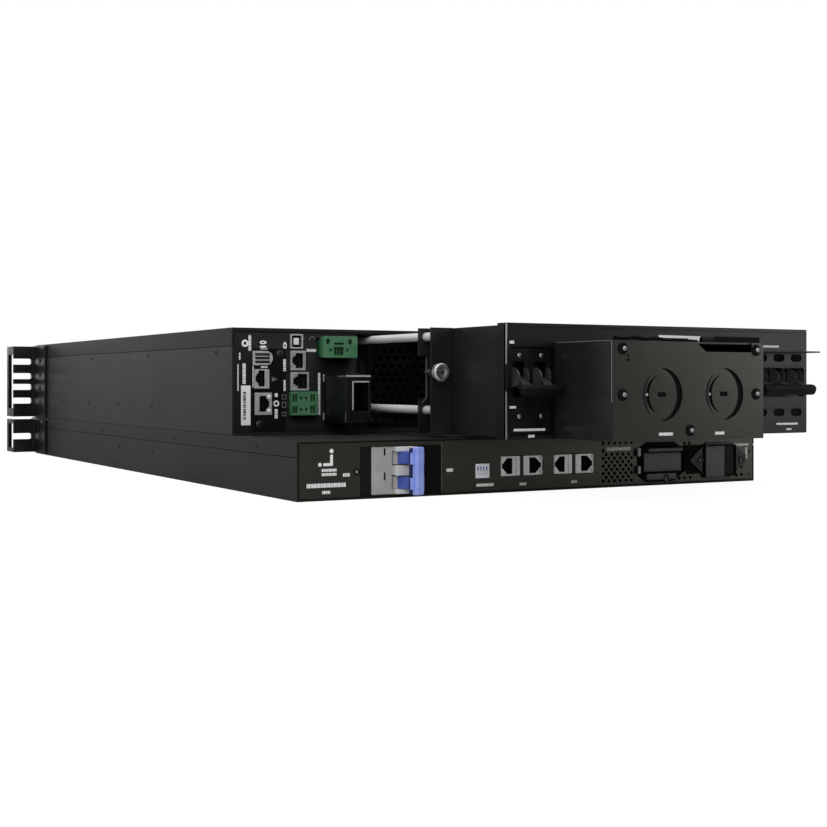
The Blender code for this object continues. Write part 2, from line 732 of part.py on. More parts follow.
def make_pod_cap():
    """The cap over the shell's rear, with the openings of the breakers and the wiring."""
    low = (POD_LEFT, POD_REAR, POD_BASE)
    cap = block("pod_rear_cap", low, (POD_RIGHT, POD_REAR + CAP_DEPTH, POD_TOP), "black_steel")
    inner_low = (POD_LEFT + CAP_WALL, POD_REAR + CAP_WALL, POD_BASE + CAP_WALL)
    inner_high = (POD_RIGHT - CAP_WALL, POD_REAR + CAP_DEPTH + 5, POD_TOP - CAP_WALL)
    carve(cap, (inner_low, inner_high))

    near = POD_REAR - 5
    far = POD_REAR + CAP_WALL + 0.05
    output_half = POLE_PITCH + GAP
    output_low = (OUTPUT_X - output_half, near, BREAKER_Z[0] - GAP)
    output_high = (OUTPUT_X + output_half, far, BREAKER_Z[1] + GAP)
    input_half = 1.5 * POLE_PITCH - 1.0
    input_low = (INPUT_X - input_half, near, TOGGLE_Z - 14)
    input_high = (INPUT_X + input_half, far, TOGGLE_Z + 9)
    (entry_left, entry_right), (entry_base, entry_top) = WIRE_ENTRY
    entry = (entry_left, near, entry_base), (entry_right, far, entry_top)
    carve(cap, (output_low, output_high), (input_low, input_high), entry)

    notch_base, notch_top = FINGER_NOTCH_Z
    carve(cap, ((POD_LEFT - 5, near, notch_base), (output_low[0] + 1, POD_REAR + 5, notch_top)))
    screw_holes = []
    for pole in (-1, 0, 1):
        x = INPUT_X + POLE_PITCH * pole
        for z in BREAKER_SCREWS_Z:
            screw_holes.append(((x - 5, near, z - 2.8), (x + 5, far, z + 2.8)))
    carve(cap, *screw_holes)


def cut_knockout(cover, centre, radius, side):
    """Cuts a half-ring slit, on the right for side 1 and on the left for side -1."""
    x, z = centre
    half_w = 0.6
    reach = 4.0
    start = math.radians(8)
    bm = bmesh.new()
    section = ((-reach, -half_w), (reach, -half_w), (reach, half_w), (-reach, half_w))
    corners = [bm.verts.new(Vector((0, depth, radius + out)) * MM) for depth, out in section]
    bm.faces.new(corners)
    bmesh.ops.rotate(bm, verts=bm.verts[:], matrix=Matrix.Rotation(side * start, 3, "Y"))
    bmesh.ops.spin(
        bm,
        geom=bm.faces[:] + bm.edges[:] + bm.verts[:],
        axis=(0, 1, 0),
        angle=side * (math.pi - 2 * start),
        steps=14,
        use_duplicate=False,
    )
    bmesh.ops.recalc_face_normals(bm, faces=bm.faces[:])
    place = Vector((x, BOX_REAR, z)) - part_origin(cover)
    bmesh.ops.translate(bm, vec=place * MM, verts=bm.verts[:])
    tool = to_object(tool_name(cover, "knockout"), bm, (0, 0, 0), CUTTERS, cover)
    boolean(cover, tool, "DIFFERENCE")


def make_terminal_box():
    """The wiring box on the cap, its screwed cover with knockouts, and the terminals inside."""
    cover_thick = 1.2
    rear = BOX_REAR + cover_thick + GAP
    front = POD_REAR - GAP
    box = block("terminal_box", (BOX_LEFT, rear, BOX_BASE), (BOX_RIGHT, front, BOX_TOP), "black_steel")
    inner_low = (BOX_LEFT + SHEET, rear - 5, BOX_BASE + SHEET)
    inner_high = (BOX_RIGHT - SHEET, front - SHEET, BOX_TOP - SHEET)
    carve(box, (inner_low, inner_high))
    (left, right), (base, top) = WIRE_ENTRY
    carve(box, ((left, front - SHEET - 5, base), (right, front + 5, top)))

    cover_high = (BOX_RIGHT, BOX_REAR + cover_thick, BOX_TOP)
    cover = block("terminal_cover", (BOX_LEFT, BOX_REAR, BOX_BASE), cover_high, "satin_black")
    near = BOX_REAR - 5
    far = BOX_REAR + 5
    (left, right), (base, top) = COVER_NOTCH
    carve(cover, ((left, near, base), (right, far, top)))
    carve(cover, *[((x - 3.5, near, z - 1.6), (x + 3.5, far, z + 1.6)) for x, z in KNOCKOUTS])
    for centre in KNOCKOUTS:
        cut_knockout(cover, centre, 18.5, 1)
        cut_knockout(cover, centre, 12.5, -1)
    sunk = 0.6
    for x, z in COVER_SCREWS:
        middle = (x, BOX_REAR - (SCREW_HEAD - sunk) / 2, z)
        fuse_round(cover, middle, "y", 3.2, SCREW_HEAD + sunk, sides=12)

    terminals = block("terminal_block", (196, -112, 56), (300, -76, 84), "grey_plastic")
    bays = []
    for number in range(6):
        left = 200 + 16.5 * number
        bays.append(((left, -120, 60), (left + 12, -96, 90)))
    carve(terminals, *bays)


def make_breaker_guard():
    """A folded shelf over the input breaker's handle, hung from a leaf on the cap."""
    left = BOX_RIGHT + GAP
    on_cap = POD_REAR - GAP
    thick = 1.2
    base, top = GUARD_Z
    high = (GUARD_RIGHT, on_cap, top)
    guard = block("breaker_guard", (left, on_cap - thick, base), high, "black_plastic")
    return fuse(guard, (left, on_cap - 14.5, base), (POD_RIGHT, on_cap, base + thick))


# Rear of the battery module


def make_battery_breaker(panel):
    """A two-pole rail breaker lying on its side, its nose through the panel."""
    x_low, x_high = DIN_X
    z_low, z_high = DIN_Z
    opening_low = (x_low - 10, -5, 0.5)
    carve(panel, (opening_low, (x_high + 13, 5, 39.0)))
    body_high = (x_high, 62, z_high)
    body = block("battery_breaker_body", (x_low, DIN_FACE, z_low), body_high, "grey_plastic")
    fuse(body, (x_low - 19, 24, z_low), (x_high + 19, 58, z_high))
    middle_x = (x_low + x_high) / 2
    middle_z = (z_low + z_high) / 2
    pitch = (z_high - z_low) / 2
    poles = [middle_z - pitch / 2, middle_z + pitch / 2]
    carve(body, *[toggle_slot(middle_x, z, DIN_FACE, 12.5, 5.2) for z in poles])
    pivot = (middle_x, DIN_FACE + TOGGLE_PIVOT_DEPTH, middle_z)
    bar_size = (4.4, 8.0, 11.5)
    handle = make_toggle("battery_breaker_handle", pivot, 2, pitch, 4.5, bar_size, "blue_plastic")
    swung = Matrix.Rotation(math.radians(TOGGLE_HALF_SWING), 3, "X")
    on_its_side = Matrix.Rotation(-math.pi / 2, 3, "Y")
    handle.rotation_euler = (on_its_side @ swung).to_euler()


def make_address_switch(panel):
    """A four-way address switch: a body with four slots and a sliding lever in each."""
    (x_low, x_high), (z_low, z_high) = ADDRESS_SWITCH
    face = -0.5
    carve(panel, ((x_low - GAP, -5, z_low - GAP), (x_high + GAP, 5, z_high + GAP)))
    body = block("address_switch", (x_low, face, z_low), (x_high, 7.0, z_high), "white_plastic")
    slot_base = z_low + 2.9
    slot_top = z_low + 8.5
    first = (x_low + x_high) / 2 - 1.5 * ADDRESS_PITCH
    centres = [first + ADDRESS_PITCH * number for number in range(4)]
    slots = [((x - 0.85, face - 5, slot_base), (x + 0.85, face + 3.2, slot_top)) for x in centres]
    carve(body, *slots)
    for number, x in enumerate(centres, start=1):
        low = (x - 0.6, face - 0.8, slot_base + 0.2)
        high = (x + 0.6, face + 2.9, slot_base + 2.8)
        block(f"address_lever_{number}", low, high, "blue_plastic")


def make_com_jacks(panel):
    """Two ganged pairs of data sockets."""
    face = -0.4
    z_low, z_high = COM_JACK_Z
    wall = 4.0
    half_w = JACK_OPENING[0] / 2
    half_h = 5.85
    middle_z = (z_low + z_high) / 2
    for label, (x_low, x_high) in COM_JACKS.items():
        carve(panel, ((x_low - GAP, -5, z_low - GAP), (x_high + GAP, 5, z_high + GAP)))
        high = (x_high, face + JACK_DEPTH + wall, z_high)
        jacks = block(f"com_jacks_{label}", (x_low, face, z_low), high, "connector_shell")
        pockets = []
        for x in (x_low + wall + half_w, x_high - wall - half_w):
            low = (x - half_w, face - 5, middle_z - half_h)
            pockets.append((low, (x + half_w, face + JACK_DEPTH, middle_z + half_h)))
        carve(jacks, *pockets)


def outline_tool(part, outline, near, far):
    """A flat plate for a boolean, from its outline in x and z and its nearest and farthest y."""
    curve = bpy.data.curves.new("outline", "CURVE")
    curve.dimensions = "2D"
    curve.fill_mode = "BOTH"
    curve.extrude = (far - near) / 2 * MM
    spline = curve.splines.new("POLY")
    spline.points.add(len(outline) - 1)
    for point, (x, z) in zip(spline.points, outline):
        point.co = (x * MM, z * MM, 0.0, 1.0)
    spline.use_cyclic_u = True
    drawn = bpy.data.objects.new("outline", curve)
    CUTTERS.objects.link(drawn)
    evaluated = drawn.evaluated_get(bpy.context.evaluated_depsgraph_get())
    mesh = bpy.data.meshes.new_from_object(evaluated)
    bpy.data.objects.remove(drawn, do_unlink=True)
    bm = bmesh.new()
    bm.from_mesh(mesh)
    bmesh.ops.remove_doubles(bm, verts=bm.verts[:], dist=0.01 * MM)
    upright = Matrix.Rotation(math.pi / 2, 4, "X")
    place = Vector((0, (near + far) / 2, 0)) - part_origin(part)
    bmesh.ops.transform(bm, matrix=Matrix.Translation(place * MM) @ upright, verts=bm.verts[:])
    return to_object(tool_name(part, "plate"), bm, (0, 0, 0), CUTTERS, part)


def make_battery_connectors(panel):
    """The two power connectors: a flange on the panel, a raised rim and the cap that closes it."""
    rim_rear = -3.0
    rim_floor = -1.0
    cap_rear = -2.4
    for label, ((x_low, x_high), (z_low, z_high)) in CONNECTOR_RIMS.items():
        left_rib = 2.5 if label == "left" else 0.0
        low = (x_low + 3, -GAP, z_low + 3)
        high = (x_high - 3, 40.0, z_high - 3)
        carve(panel, ((low[0] - GAP, -5, low[2] - GAP), (high[0] + GAP, 5, high[2] + GAP)))
        name = f"battery_connector_{label}"
        body = block(name, (x_low, rim_rear, z_low), (x_high, -GAP, z_high), "black_plastic")
        boolean(body, outline_tool(body, CONNECTOR_FLANGES[label], -1.3, -GAP), "UNION")
        inner_x = x_low + RIM_WALL + left_rib
        inner_low = (inner_x, rim_rear - 5, z_low + RIM_WALL)
        carve(body, (inner_low, (x_high - RIM_WALL, rim_floor, z_high - RIM_WALL)))
        notch_base = (z_low + z_high) / 2 - 4
        carve(body, ((x_low - 5, rim_rear - 5, notch_base), (inner_x + 1, rim_floor, notch_base + 8)))
        (cap_left, cap_right), (cap_base, cap_top) = CONNECTOR_CAPS[label]
        fuse(body, (cap_left, cap_rear, cap_base), (cap_right, rim_floor + 0.5, cap_top))
        fuse(body, (low[0], rim_floor, low[2]), high)


def main():
    ups_panel = make_ups_casing()
    battery_panel = make_battery_casing()
    make_ears()
    make_bezels()
    make_network_card(ups_panel)
    make_port_column(ups_panel)
    make_pluggable_terminals(ups_panel)
    make_battery_cable_socket()
    make_fan(ups_panel)
    make_power_stage()
    make_battery_contents()
    make_rods_and_bracket()
    make_pod_case()
    make_pod_cap()
    make_pod_breaker("output_breaker", OUTPUT_X, 2)
    make_pod_breaker("input_breaker", INPUT_X, 3)
    make_terminal_box()
    make_breaker_guard()
    make_battery_breaker(battery_panel)
    make_address_switch(battery_panel)
    make_com_jacks(battery_panel)
    make_battery_connectors(battery_panel)
    bpy.context.view_layer.update()


main()
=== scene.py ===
"""Looks of a rack-mounted uninterruptible power supply with its battery module.

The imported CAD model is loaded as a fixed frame. Sizes and places are millimetres from one datum:
x runs across from the left flank as seen from behind, y runs forward from the battery module's rear
panel, and z runs up from the floor.
"""

import math

import bmesh
import bpy
from mathutils import Matrix, Vector


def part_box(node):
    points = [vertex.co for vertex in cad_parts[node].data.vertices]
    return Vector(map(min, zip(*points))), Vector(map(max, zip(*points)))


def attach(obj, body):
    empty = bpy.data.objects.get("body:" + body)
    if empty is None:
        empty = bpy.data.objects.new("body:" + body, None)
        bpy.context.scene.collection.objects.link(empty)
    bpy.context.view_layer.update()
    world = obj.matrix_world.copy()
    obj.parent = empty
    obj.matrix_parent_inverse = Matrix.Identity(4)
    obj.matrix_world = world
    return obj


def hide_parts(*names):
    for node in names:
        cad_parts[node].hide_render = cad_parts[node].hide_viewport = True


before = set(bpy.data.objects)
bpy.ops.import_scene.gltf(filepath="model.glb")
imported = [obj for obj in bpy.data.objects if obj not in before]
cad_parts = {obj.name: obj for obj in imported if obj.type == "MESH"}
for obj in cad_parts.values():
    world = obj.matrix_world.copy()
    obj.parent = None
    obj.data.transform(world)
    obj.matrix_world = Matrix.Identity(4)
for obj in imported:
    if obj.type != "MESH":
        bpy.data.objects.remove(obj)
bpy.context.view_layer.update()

MM = 0.001
CHASSIS = "chassis"
REAR_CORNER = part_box("battery_chassis")[1]
DATUM = (
    Matrix.Translation((REAR_CORNER.x, REAR_CORNER.y, 0.0))
    @ Matrix.Rotation(math.pi, 4, "Z")
    @ Matrix.Scale(MM, 4)
)
TO_DATUM = DATUM.inverted()

# The direction that each side's own u (across), v (up) and w (outward) axes take in the datum.
FACINGS = {
    "rear": ((1, 0, 0), (0, 0, 1), (0, -1, 0)),
    "front": ((-1, 0, 0), (0, 0, 1), (0, 1, 0)),
    "left": ((0, -1, 0), (0, 0, 1), (-1, 0, 0)),
    "right": ((0, 1, 0), (0, 0, 1), (1, 0, 0)),
    "up": ((1, 0, 0), (0, 1, 0), (0, 0, 1)),
    "down": ((1, 0, 0), (0, -1, 0), (0, 0, -1)),
}


# ---------------------------------------------------------------- places in the frame


def span(node):
    """(lowest corner, highest corner) of a CAD node, in datum millimetres."""
    corners = [TO_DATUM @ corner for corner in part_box(node)]
    return tuple(Vector(choose(pair) for pair in zip(*corners)) for choose in (min, max))


def centre(node):
    low, high = span(node)
    return (low + high) / 2


def facing_matrix(facing, spot, turn=0.0):
    """Puts a side's own axes at a spot of the datum, turned about the outward one."""
    across, up, outward = (Vector(axis) for axis in FACINGS[facing])
    axes = Matrix((across, up, outward)).transposed().to_4x4()
    return Matrix.Translation(spot) @ axes @ Matrix.Rotation(turn, 4, "Z")


# ---------------------------------------------------------------- outlines, as lists of (u, v)


def rounded(u_low, v_low, u_high, v_high, radius=0.0, steps=4):
    """A rectangle with rounded corners."""
    if radius <= 0:
        return [(u_low, v_low), (u_high, v_low), (u_high, v_high), (u_low, v_high)]
    radius = min(radius, (u_high - u_low) / 2 - 1e-4, (v_high - v_low) / 2 - 1e-4)
    corners = (
        (u_high - radius, v_low + radius, -0.5),
        (u_high - radius, v_high - radius, 0.0),
        (u_low + radius, v_high - radius, 0.5),
        (u_low + radius, v_low + radius, 1.0),
    )
    points = []
    for u, v, start in corners:
        for step in range(steps + 1):
            angle = math.pi * (start + 0.5 * step / steps)
            points.append((u + radius * math.cos(angle), v + radius * math.sin(angle)))
    return points


def circle(u, v, radius, sides=20, stretch=1.0):
    turns = [math.tau * step / sides for step in range(sides)]
    return [(u + radius * math.cos(turn), v + radius * stretch * math.sin(turn)) for turn in turns]


def arc(u, v, radius, start, stop, steps=16):
    """Points along an arc, its angles in degrees."""
    angles = [math.radians(start + (stop - start) * step / steps) for step in range(steps + 1)]
    return [(u + radius * math.cos(angle), v + radius * math.sin(angle)) for angle in angles]


def crescent(u, v, radius, width, start, stop):
    """A slit that follows an arc and narrows to nothing at its two ends."""
    outer = arc(u, v, radius, start, stop, 24)
    inner = []
    for step, (edge_u, edge_v) in enumerate(outer[1:-1], 1):
        shrink = 1 - width * math.sin(math.pi * step / 24) / radius
        inner.append((u + (edge_u - u) * shrink, v + (edge_v - v) * shrink))
    return outer + inner[::-1]


def signed_area(points):
    following = points[1:] + points[:1]
    return sum(a[0] * b[1] - b[0] * a[1] for a, b in zip(points, following)) / 2


# ---------------------------------------------------------------- shapes


class Shape:
    """Solid parts gathered in datum millimetres, which piece() turns into one object."""

    def __init__(self):
        self.mesh = bmesh.new()

    def add(self, part, place=None):
        if place is not None:
            bmesh.ops.transform(part, matrix=place, verts=part.verts[:])
        data = bpy.data.meshes.new("part")
        part.to_mesh(data)
        part.free()
        self.mesh.from_mesh(data)
        bpy.data.meshes.remove(data)
        return self

    def box(self, low, high, edge=0.3, steps=2, place=None):
        """A block with rounded edges, between two corners."""
        low, high = Vector(low), Vector(high)
        part = bmesh.new()
        bmesh.ops.create_cube(part, size=1.0)
        size = Matrix.Diagonal((*(high - low), 1.0))
        bmesh.ops.transform(part, matrix=Matrix.Translation((low + high) / 2) @ size, verts=part.verts[:])
        if edge > 0:
            edge = min(edge, 0.45 * min(high - low))
            bmesh.ops.bevel(part, geom=part.edges[:], offset=edge, segments=steps, profile=0.5, affect="EDGES")
        return self.add(part, place)

    def plate(self, facing, spot, outline, holes=(), depth=1.0, edge=0.15, turn=0.0):
        """A flat plate whose outer face passes through the spot, with holes right through it."""
        edge = min(edge, 0.45 * depth)
        curve = bpy.data.curves.new("plate", "CURVE")
        curve.dimensions = "2D"
        curve.fill_mode = "BOTH"
        curve.extrude = depth / 2 - edge
        curve.bevel_depth = edge
        curve.bevel_resolution = 1
        curve.offset = -edge
        for points, wanted in [(outline, 1)] + [(hole, -1) for hole in holes]:
            if signed_area(points) * wanted < 0:
                points = points[::-1]
            spline = curve.splines.new("POLY")
            spline.points.add(len(points) - 1)
            for point, (u, v) in zip(spline.points, points):
                point.co = (u, v, 0.0, 1.0)
            spline.use_cyclic_u = True
        drawn = bpy.data.objects.new("plate", curve)
        bpy.context.scene.collection.objects.link(drawn)
        evaluated = drawn.evaluated_get(bpy.context.evaluated_depsgraph_get())
        data = bpy.data.meshes.new_from_object(evaluated)
        part = bmesh.new()
        part.from_mesh(data)
        bmesh.ops.remove_doubles(part, verts=part.verts[:], dist=1e-4)
        bpy.data.objects.remove(drawn)
        bpy.data.curves.remove(curve)
        bpy.data.meshes.remove(data)
        return self.add(part, facing_matrix(facing, spot, turn) @ Matrix.Translation((0, 0, -depth / 2)))

    def turned(self, facing, spot, profile, sides=32, wave=0.0, waves=0, turn=0.0):
        """A turned part from (radius, height) pairs; a wave on the radius makes knurling or lobes."""
        part = bmesh.new()
        rings = []
        for radius, height in profile:
            if radius <= 1e-6:
                rings.append([part.verts.new((0, 0, height))])
                continue
            ring = []
            for step in range(sides):
                angle = math.tau * step / sides
                reach = radius * (1 + wave * math.cos(waves * angle))
                ring.append(part.verts.new((reach * math.cos(angle), reach * math.sin(angle), height)))
            rings.append(ring)
        for lower, upper in zip(rings, rings[1:]):
            for step in range(sides):
                ahead = (step + 1) % sides
                loop = [lower[step % len(lower)], lower[ahead % len(lower)]]
                loop += [upper[ahead % len(upper)], upper[step % len(upper)]]
                corners = list(dict.fromkeys(loop))
                if len(corners) > 2:
                    part.faces.new(corners)
        for ring, backwards in ((rings[0], True), (rings[-1], False)):
            if len(ring) > 2:
                part.faces.new(ring[::-1] if backwards else ring)
        bmesh.ops.recalc_face_normals(part, faces=part.faces[:])
        return self.add(part, facing_matrix(facing, spot, turn))

    def wire(self, points, radius, sides=8):
        """A round bar along points of the datum."""
        curve = bpy.data.curves.new("wire", "CURVE")
        curve.dimensions = "3D"
        curve.bevel_depth = radius
        curve.bevel_resolution = max(0, sides // 2 - 2)
        curve.use_fill_caps = True
        spline = curve.splines.new("POLY")
        spline.points.add(len(points) - 1)
        for point, spot in zip(spline.points, points):
            point.co = (*spot, 1.0)
        drawn = bpy.data.objects.new("wire", curve)
        bpy.context.scene.collection.objects.link(drawn)
        evaluated = drawn.evaluated_get(bpy.context.evaluated_depsgraph_get())
        data = bpy.data.meshes.new_from_object(evaluated)
        part = bmesh.new()
        part.from_mesh(data)
        bpy.data.objects.remove(drawn)
        bpy.data.curves.remove(curve)
        bpy.data.meshes.remove(data)
        return self.add(part)

    def pebble(self, middle, radii, place=None):
        """A rounded lobe with three radii."""
        part = bmesh.new()
        bmesh.ops.create_uvsphere(part, u_segments=20, v_segments=12, radius=1.0)
        for vertex in part.verts:
            squared = [abs(value) ** 0.8 * (1 if value >= 0 else -1) for value in vertex.co]
            vertex.co = Vector(middle) + Vector(value * radius for value, radius in zip(squared, radii))
        return self.add(part, place)

    def cad(self, node, edge=0.4, steps=2, corner=40.0):
        """A copy of a CAD node with its sharp edges rounded."""
        part = bmesh.new()
        part.from_mesh(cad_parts[node].data)
        bmesh.ops.transform(part, matrix=TO_DATUM, verts=part.verts[:])
        bmesh.ops.remove_doubles(part, verts=part.verts[:], dist=0.005)
        flat = math.radians(1.0)
        bmesh.ops.dissolve_limit(part, angle_limit=flat, verts=part.verts[:], edges=part.edges[:])
        limit = math.radians(corner)
        sharp = [e for e in part.edges if e.is_manifold and e.calc_face_angle(0.0) > limit]
        if edge > 0:
            bmesh.ops.bevel(
                part, geom=sharp, offset=edge, segments=steps, profile=0.5, affect="EDGES", clamp_overlap=True
            )
        return self.add(part)

    def piece(self, name, material, body=CHASSIS, slot="painted_black", replaces=(), corner=35.0):
        """Ends the shape as one object in the frame, riding on a CAD body."""
        bmesh.ops.transform(self.mesh, matrix=DATUM, verts=self.mesh.verts[:])
        data = bpy.data.meshes.new(name)
        self.mesh.to_mesh(data)
        self.mesh.free()
        for face in data.polygons:
            face.use_smooth = True
        data.set_sharp_from_angle(angle=math.radians(corner))
        made = bpy.data.objects.new(name, data)
        bpy.context.scene.collection.objects.link(made)
        data.materials.append(material)
        normals = made.modifiers.new("normals", "WEIGHTED_NORMAL")
        normals.keep_sharp = True
        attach(made, body)
        if replaces:
            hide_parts(*replaces)
        return made


# ---------------------------------------------------------------- materials


def noise(tree, size, detail=3.0, squeeze=(1.0, 1.0, 1.0)):
    """Noise whose grains are about this many millimetres, in the object's own coordinates."""
    coordinates = tree.nodes.new("ShaderNodeTexCoord")
    mapping = tree.nodes.new("ShaderNodeMapping")
    mapping.inputs["Scale"].default_value = squeeze
    texture = tree.nodes.new("ShaderNodeTexNoise")
    texture.inputs["Scale"].default_value = 1.0 / (size * MM)
    texture.inputs["Detail"].default_value = detail
    tree.links.new(coordinates.outputs["Object"], mapping.inputs["Vector"])
    tree.links.new(mapping.outputs["Vector"], texture.inputs["Vector"])
    return texture.outputs["Fac"]


def spread(tree, value, low, high, start=0.35, stop=0.65):
    """Maps a value's start to stop onto low to high."""
    ranged = tree.nodes.new("ShaderNodeMapRange")
    for label, number in (("From Min", start), ("From Max", stop), ("To Min", low), ("To Max", high)):
        ranged.inputs[label].default_value = number
    tree.links.new(value, ranged.inputs["Value"])
    return ranged.outputs["Result"]


def mixed(tree, factor, first, second):
    """A colour between two others; each is an output or three numbers."""
    mix = tree.nodes.new("ShaderNodeMix")
    mix.data_type = "RGBA"
    tree.links.new(factor, mix.inputs["Factor"])
    for socket, colour in ((mix.inputs[6], first), (mix.inputs[7], second)):
        if isinstance(colour, bpy.types.NodeSocket):
            tree.links.new(colour, socket)
        else:
            socket.default_value = (*colour, 1.0)
    return mix.outputs[2]


def finish(
    name,
    dark,
    light,
    rough,
    metallic=0.0,
    patch=14.0,
    grain=0.8,
    bump=0.15,
    height=0.02,
    squeeze=(1.0, 1.0, 1.0),
    pale_edges=None,
    coat=0.0,
    specular=0.5,
    tint=(1.0, 1.0, 1.0),
):
    """A finish whose colour and gloss wander in patches, over a fine grain, with paler edges where the mesh is sharply
    convex.
    """
    material = bpy.data.materials.new(name)
    material.use_nodes = True
    tree = material.node_tree
    shader = tree.nodes["Principled BSDF"]
    shader.inputs["Metallic"].default_value = metallic
    shader.inputs["Specular IOR Level"].default_value = specular
    shader.inputs["Specular Tint"].default_value = (*tint, 1.0)
    shader.inputs["Coat Weight"].default_value = coat
    patches = noise(tree, patch, 4.0, squeeze)
    grains = noise(tree, grain, 2.0, squeeze)
    colour = mixed(tree, spread(tree, patches, 0.0, 1.0), dark, light)
    if pale_edges is not None:
        # Paler colour on sharply convex edges, read from the mesh's pointiness.
        geometry = tree.nodes.new("ShaderNodeNewGeometry")
        edges = spread(tree, geometry.outputs["Pointiness"], 0.0, 0.7, 0.53, 0.62)
        colour = mixed(tree, edges, colour, pale_edges)
    tree.links.new(colour, shader.inputs["Base Color"])
    tree.links.new(spread(tree, patches, *rough), shader.inputs["Roughness"])
    relief = tree.nodes.new("ShaderNodeBump")
    relief.inputs["Strength"].default_value = bump
    relief.inputs["Distance"].default_value = height * MM
    tree.links.new(grains, relief.inputs["Height"])
    tree.links.new(relief.outputs["Normal"], shader.inputs["Normal"])
    return material


def grey(value, warmth=0.0):
    return (value * (1 + warmth), value, value * (1 - warmth))


POWDER = finish(
    "powder_coat", grey(0.007), grey(0.01), (0.24, 0.28), patch=60, grain=0.9, bump=0.12, pale_edges=grey(0.03), specular=0.43,
    tint=(1.0, 1.0, 0.86),
)
# A darker copy of the black powder coat: painted shade for the recessed port wall, its fan screen, card plate and fold,
# and for shade marks on the boxes; also the breakers' black tie bars.
POWDER_DARK_AND_SHADE = finish(
    "dark_coat_and_painted_shade", grey(0.002), grey(0.003), (0.5, 0.6), patch=20, grain=0.9, bump=0.2, pale_edges=grey(0.012), specular=0.16
)
CASING = finish(
    "casing_coat", grey(0.008), grey(0.009), (0.42, 0.46), patch=90, grain=0.9, bump=0.2, pale_edges=grey(0.03), specular=0.2,
    tint=(1.0, 1.0, 0.96),
)
CAP_COAT = finish(
    "cap_coat", grey(0.006), grey(0.008), (0.24, 0.28), patch=60, grain=0.9, bump=0.12, pale_edges=grey(0.02), specular=0.24
)
REAR_COAT = finish(
    "rear_coat", (0.004, 0.004, 0.002), (0.006, 0.006, 0.003), (0.3, 0.34), patch=60, grain=0.9, bump=0.12, pale_edges=grey(0.03), specular=0.6,
    tint=(0.98, 1.0, 0.82),
)
SMOKE = finish("smoky_guard", grey(0.002), grey(0.004), (0.3, 0.4), patch=12, grain=0.5, bump=0.1, specular=0.25)
SATIN = finish("satin_paint", grey(0.006), grey(0.009), (0.3, 0.38), patch=22, grain=1.2, bump=0.15, pale_edges=grey(0.025), specular=0.35)
MOULDED = finish("moulded_black", grey(0.003), grey(0.005), (0.34, 0.42), patch=9, grain=0.35, bump=0.3, specular=0.32)
MOULDED_GREY = finish("moulded_dark_grey", grey(0.05), grey(0.07), (0.35, 0.45), patch=8, grain=0.4, bump=0.25)
LEVER = finish("lever_dark_grey", grey(0.04), grey(0.055), (0.3, 0.4), patch=8, grain=0.4, bump=0.2)
# Flat black for black plastic parts and bar-code print, and painted shade in holes, recesses, seams and gaps.
BLACK_AND_SHADE = finish("black_and_painted_shade", grey(0.003), grey(0.006), (0.6, 0.8), patch=6, grain=0.5, bump=0.2, specular=0.08)
# Bright metal for painted highlights along folded edges.
EDGE_HIGHLIGHT = finish(
    "painted_edge_highlight", grey(0.5), grey(0.65), (0.28, 0.42), metallic=0.9, patch=4, grain=0.3, squeeze=(1, 1, 8)
)
CHROME = finish("plated_rod", grey(0.82), grey(0.92), (0.3, 0.34), metallic=0.15, patch=60, grain=0.6, bump=0.02)
NICKEL = finish("nickel", grey(0.62, 0.02), grey(0.86, 0.02), (0.25, 0.38), metallic=1.0, patch=3, grain=0.2, bump=0.2)
ZINC = finish("zinc_screw", grey(0.35), grey(0.55), (0.3, 0.45), metallic=1.0, patch=1.5, grain=0.2, bump=0.25)
BLACK_SCREW = finish("black_screw", grey(0.03), grey(0.05), (0.3, 0.45), metallic=0.6, patch=2, grain=0.3, bump=0.2)
TIN_BRIGHT = finish("bright_shell", grey(0.88), grey(0.95), (0.3, 0.4), metallic=0.3, patch=3, grain=0.3, bump=0.15)
TIN = finish("tin_shell", grey(0.5, 0.01), grey(0.68, 0.01), (0.3, 0.42), metallic=0.75, patch=3, grain=0.3, bump=0.2)
GOLD = finish("gold_contact", (0.04, 0.03, 0.015), (0.07, 0.05, 0.02), (0.3, 0.42), metallic=1.0, patch=1, grain=0.1)
PRINT = finish("white_print", grey(0.9), grey(0.97), (0.5, 0.62), patch=2, grain=0.3, bump=0.2)
# Grey for small print and fine lines, and for painted highlights along edges.
PRINT_GREY_AND_HIGHLIGHT = finish("grey_print_and_painted_highlight", grey(0.11), grey(0.16), (0.5, 0.62), patch=2, grain=0.3, bump=0.2)
# Light grey for painted highlights on edges.
HIGHLIGHT_GREY = finish("painted_highlight_grey", grey(0.45), grey(0.55), (0.3, 0.4), patch=2, grain=0.3, bump=0.15)
# White for the sticker, and for a painted highlight above the wiring box.
LABEL_AND_HIGHLIGHT_WHITE = finish("white_label_and_painted_highlight", grey(0.92), grey(0.98), (0.42, 0.55), patch=12, grain=0.6, bump=0.1)
DIN_GREY = finish("din_grey", grey(0.4, 0.01), grey(0.46, 0.01), (0.35, 0.46), patch=12, grain=0.4, bump=0.25)
DIN_WHITE = finish("din_white", grey(0.74), grey(0.84), (0.32, 0.42), patch=8, grain=0.4, bump=0.2)
BLUE = finish("tie_bar_blue", (0.3, 0.4, 0.98), (0.37, 0.47, 1.0), (0.24, 0.34), patch=9, grain=0.5, bump=0.15)
DEEP_BLUE = finish("arm_blue", (0.07, 0.11, 0.48), (0.1, 0.15, 0.58), (0.28, 0.38), patch=7, grain=0.5, bump=0.15)
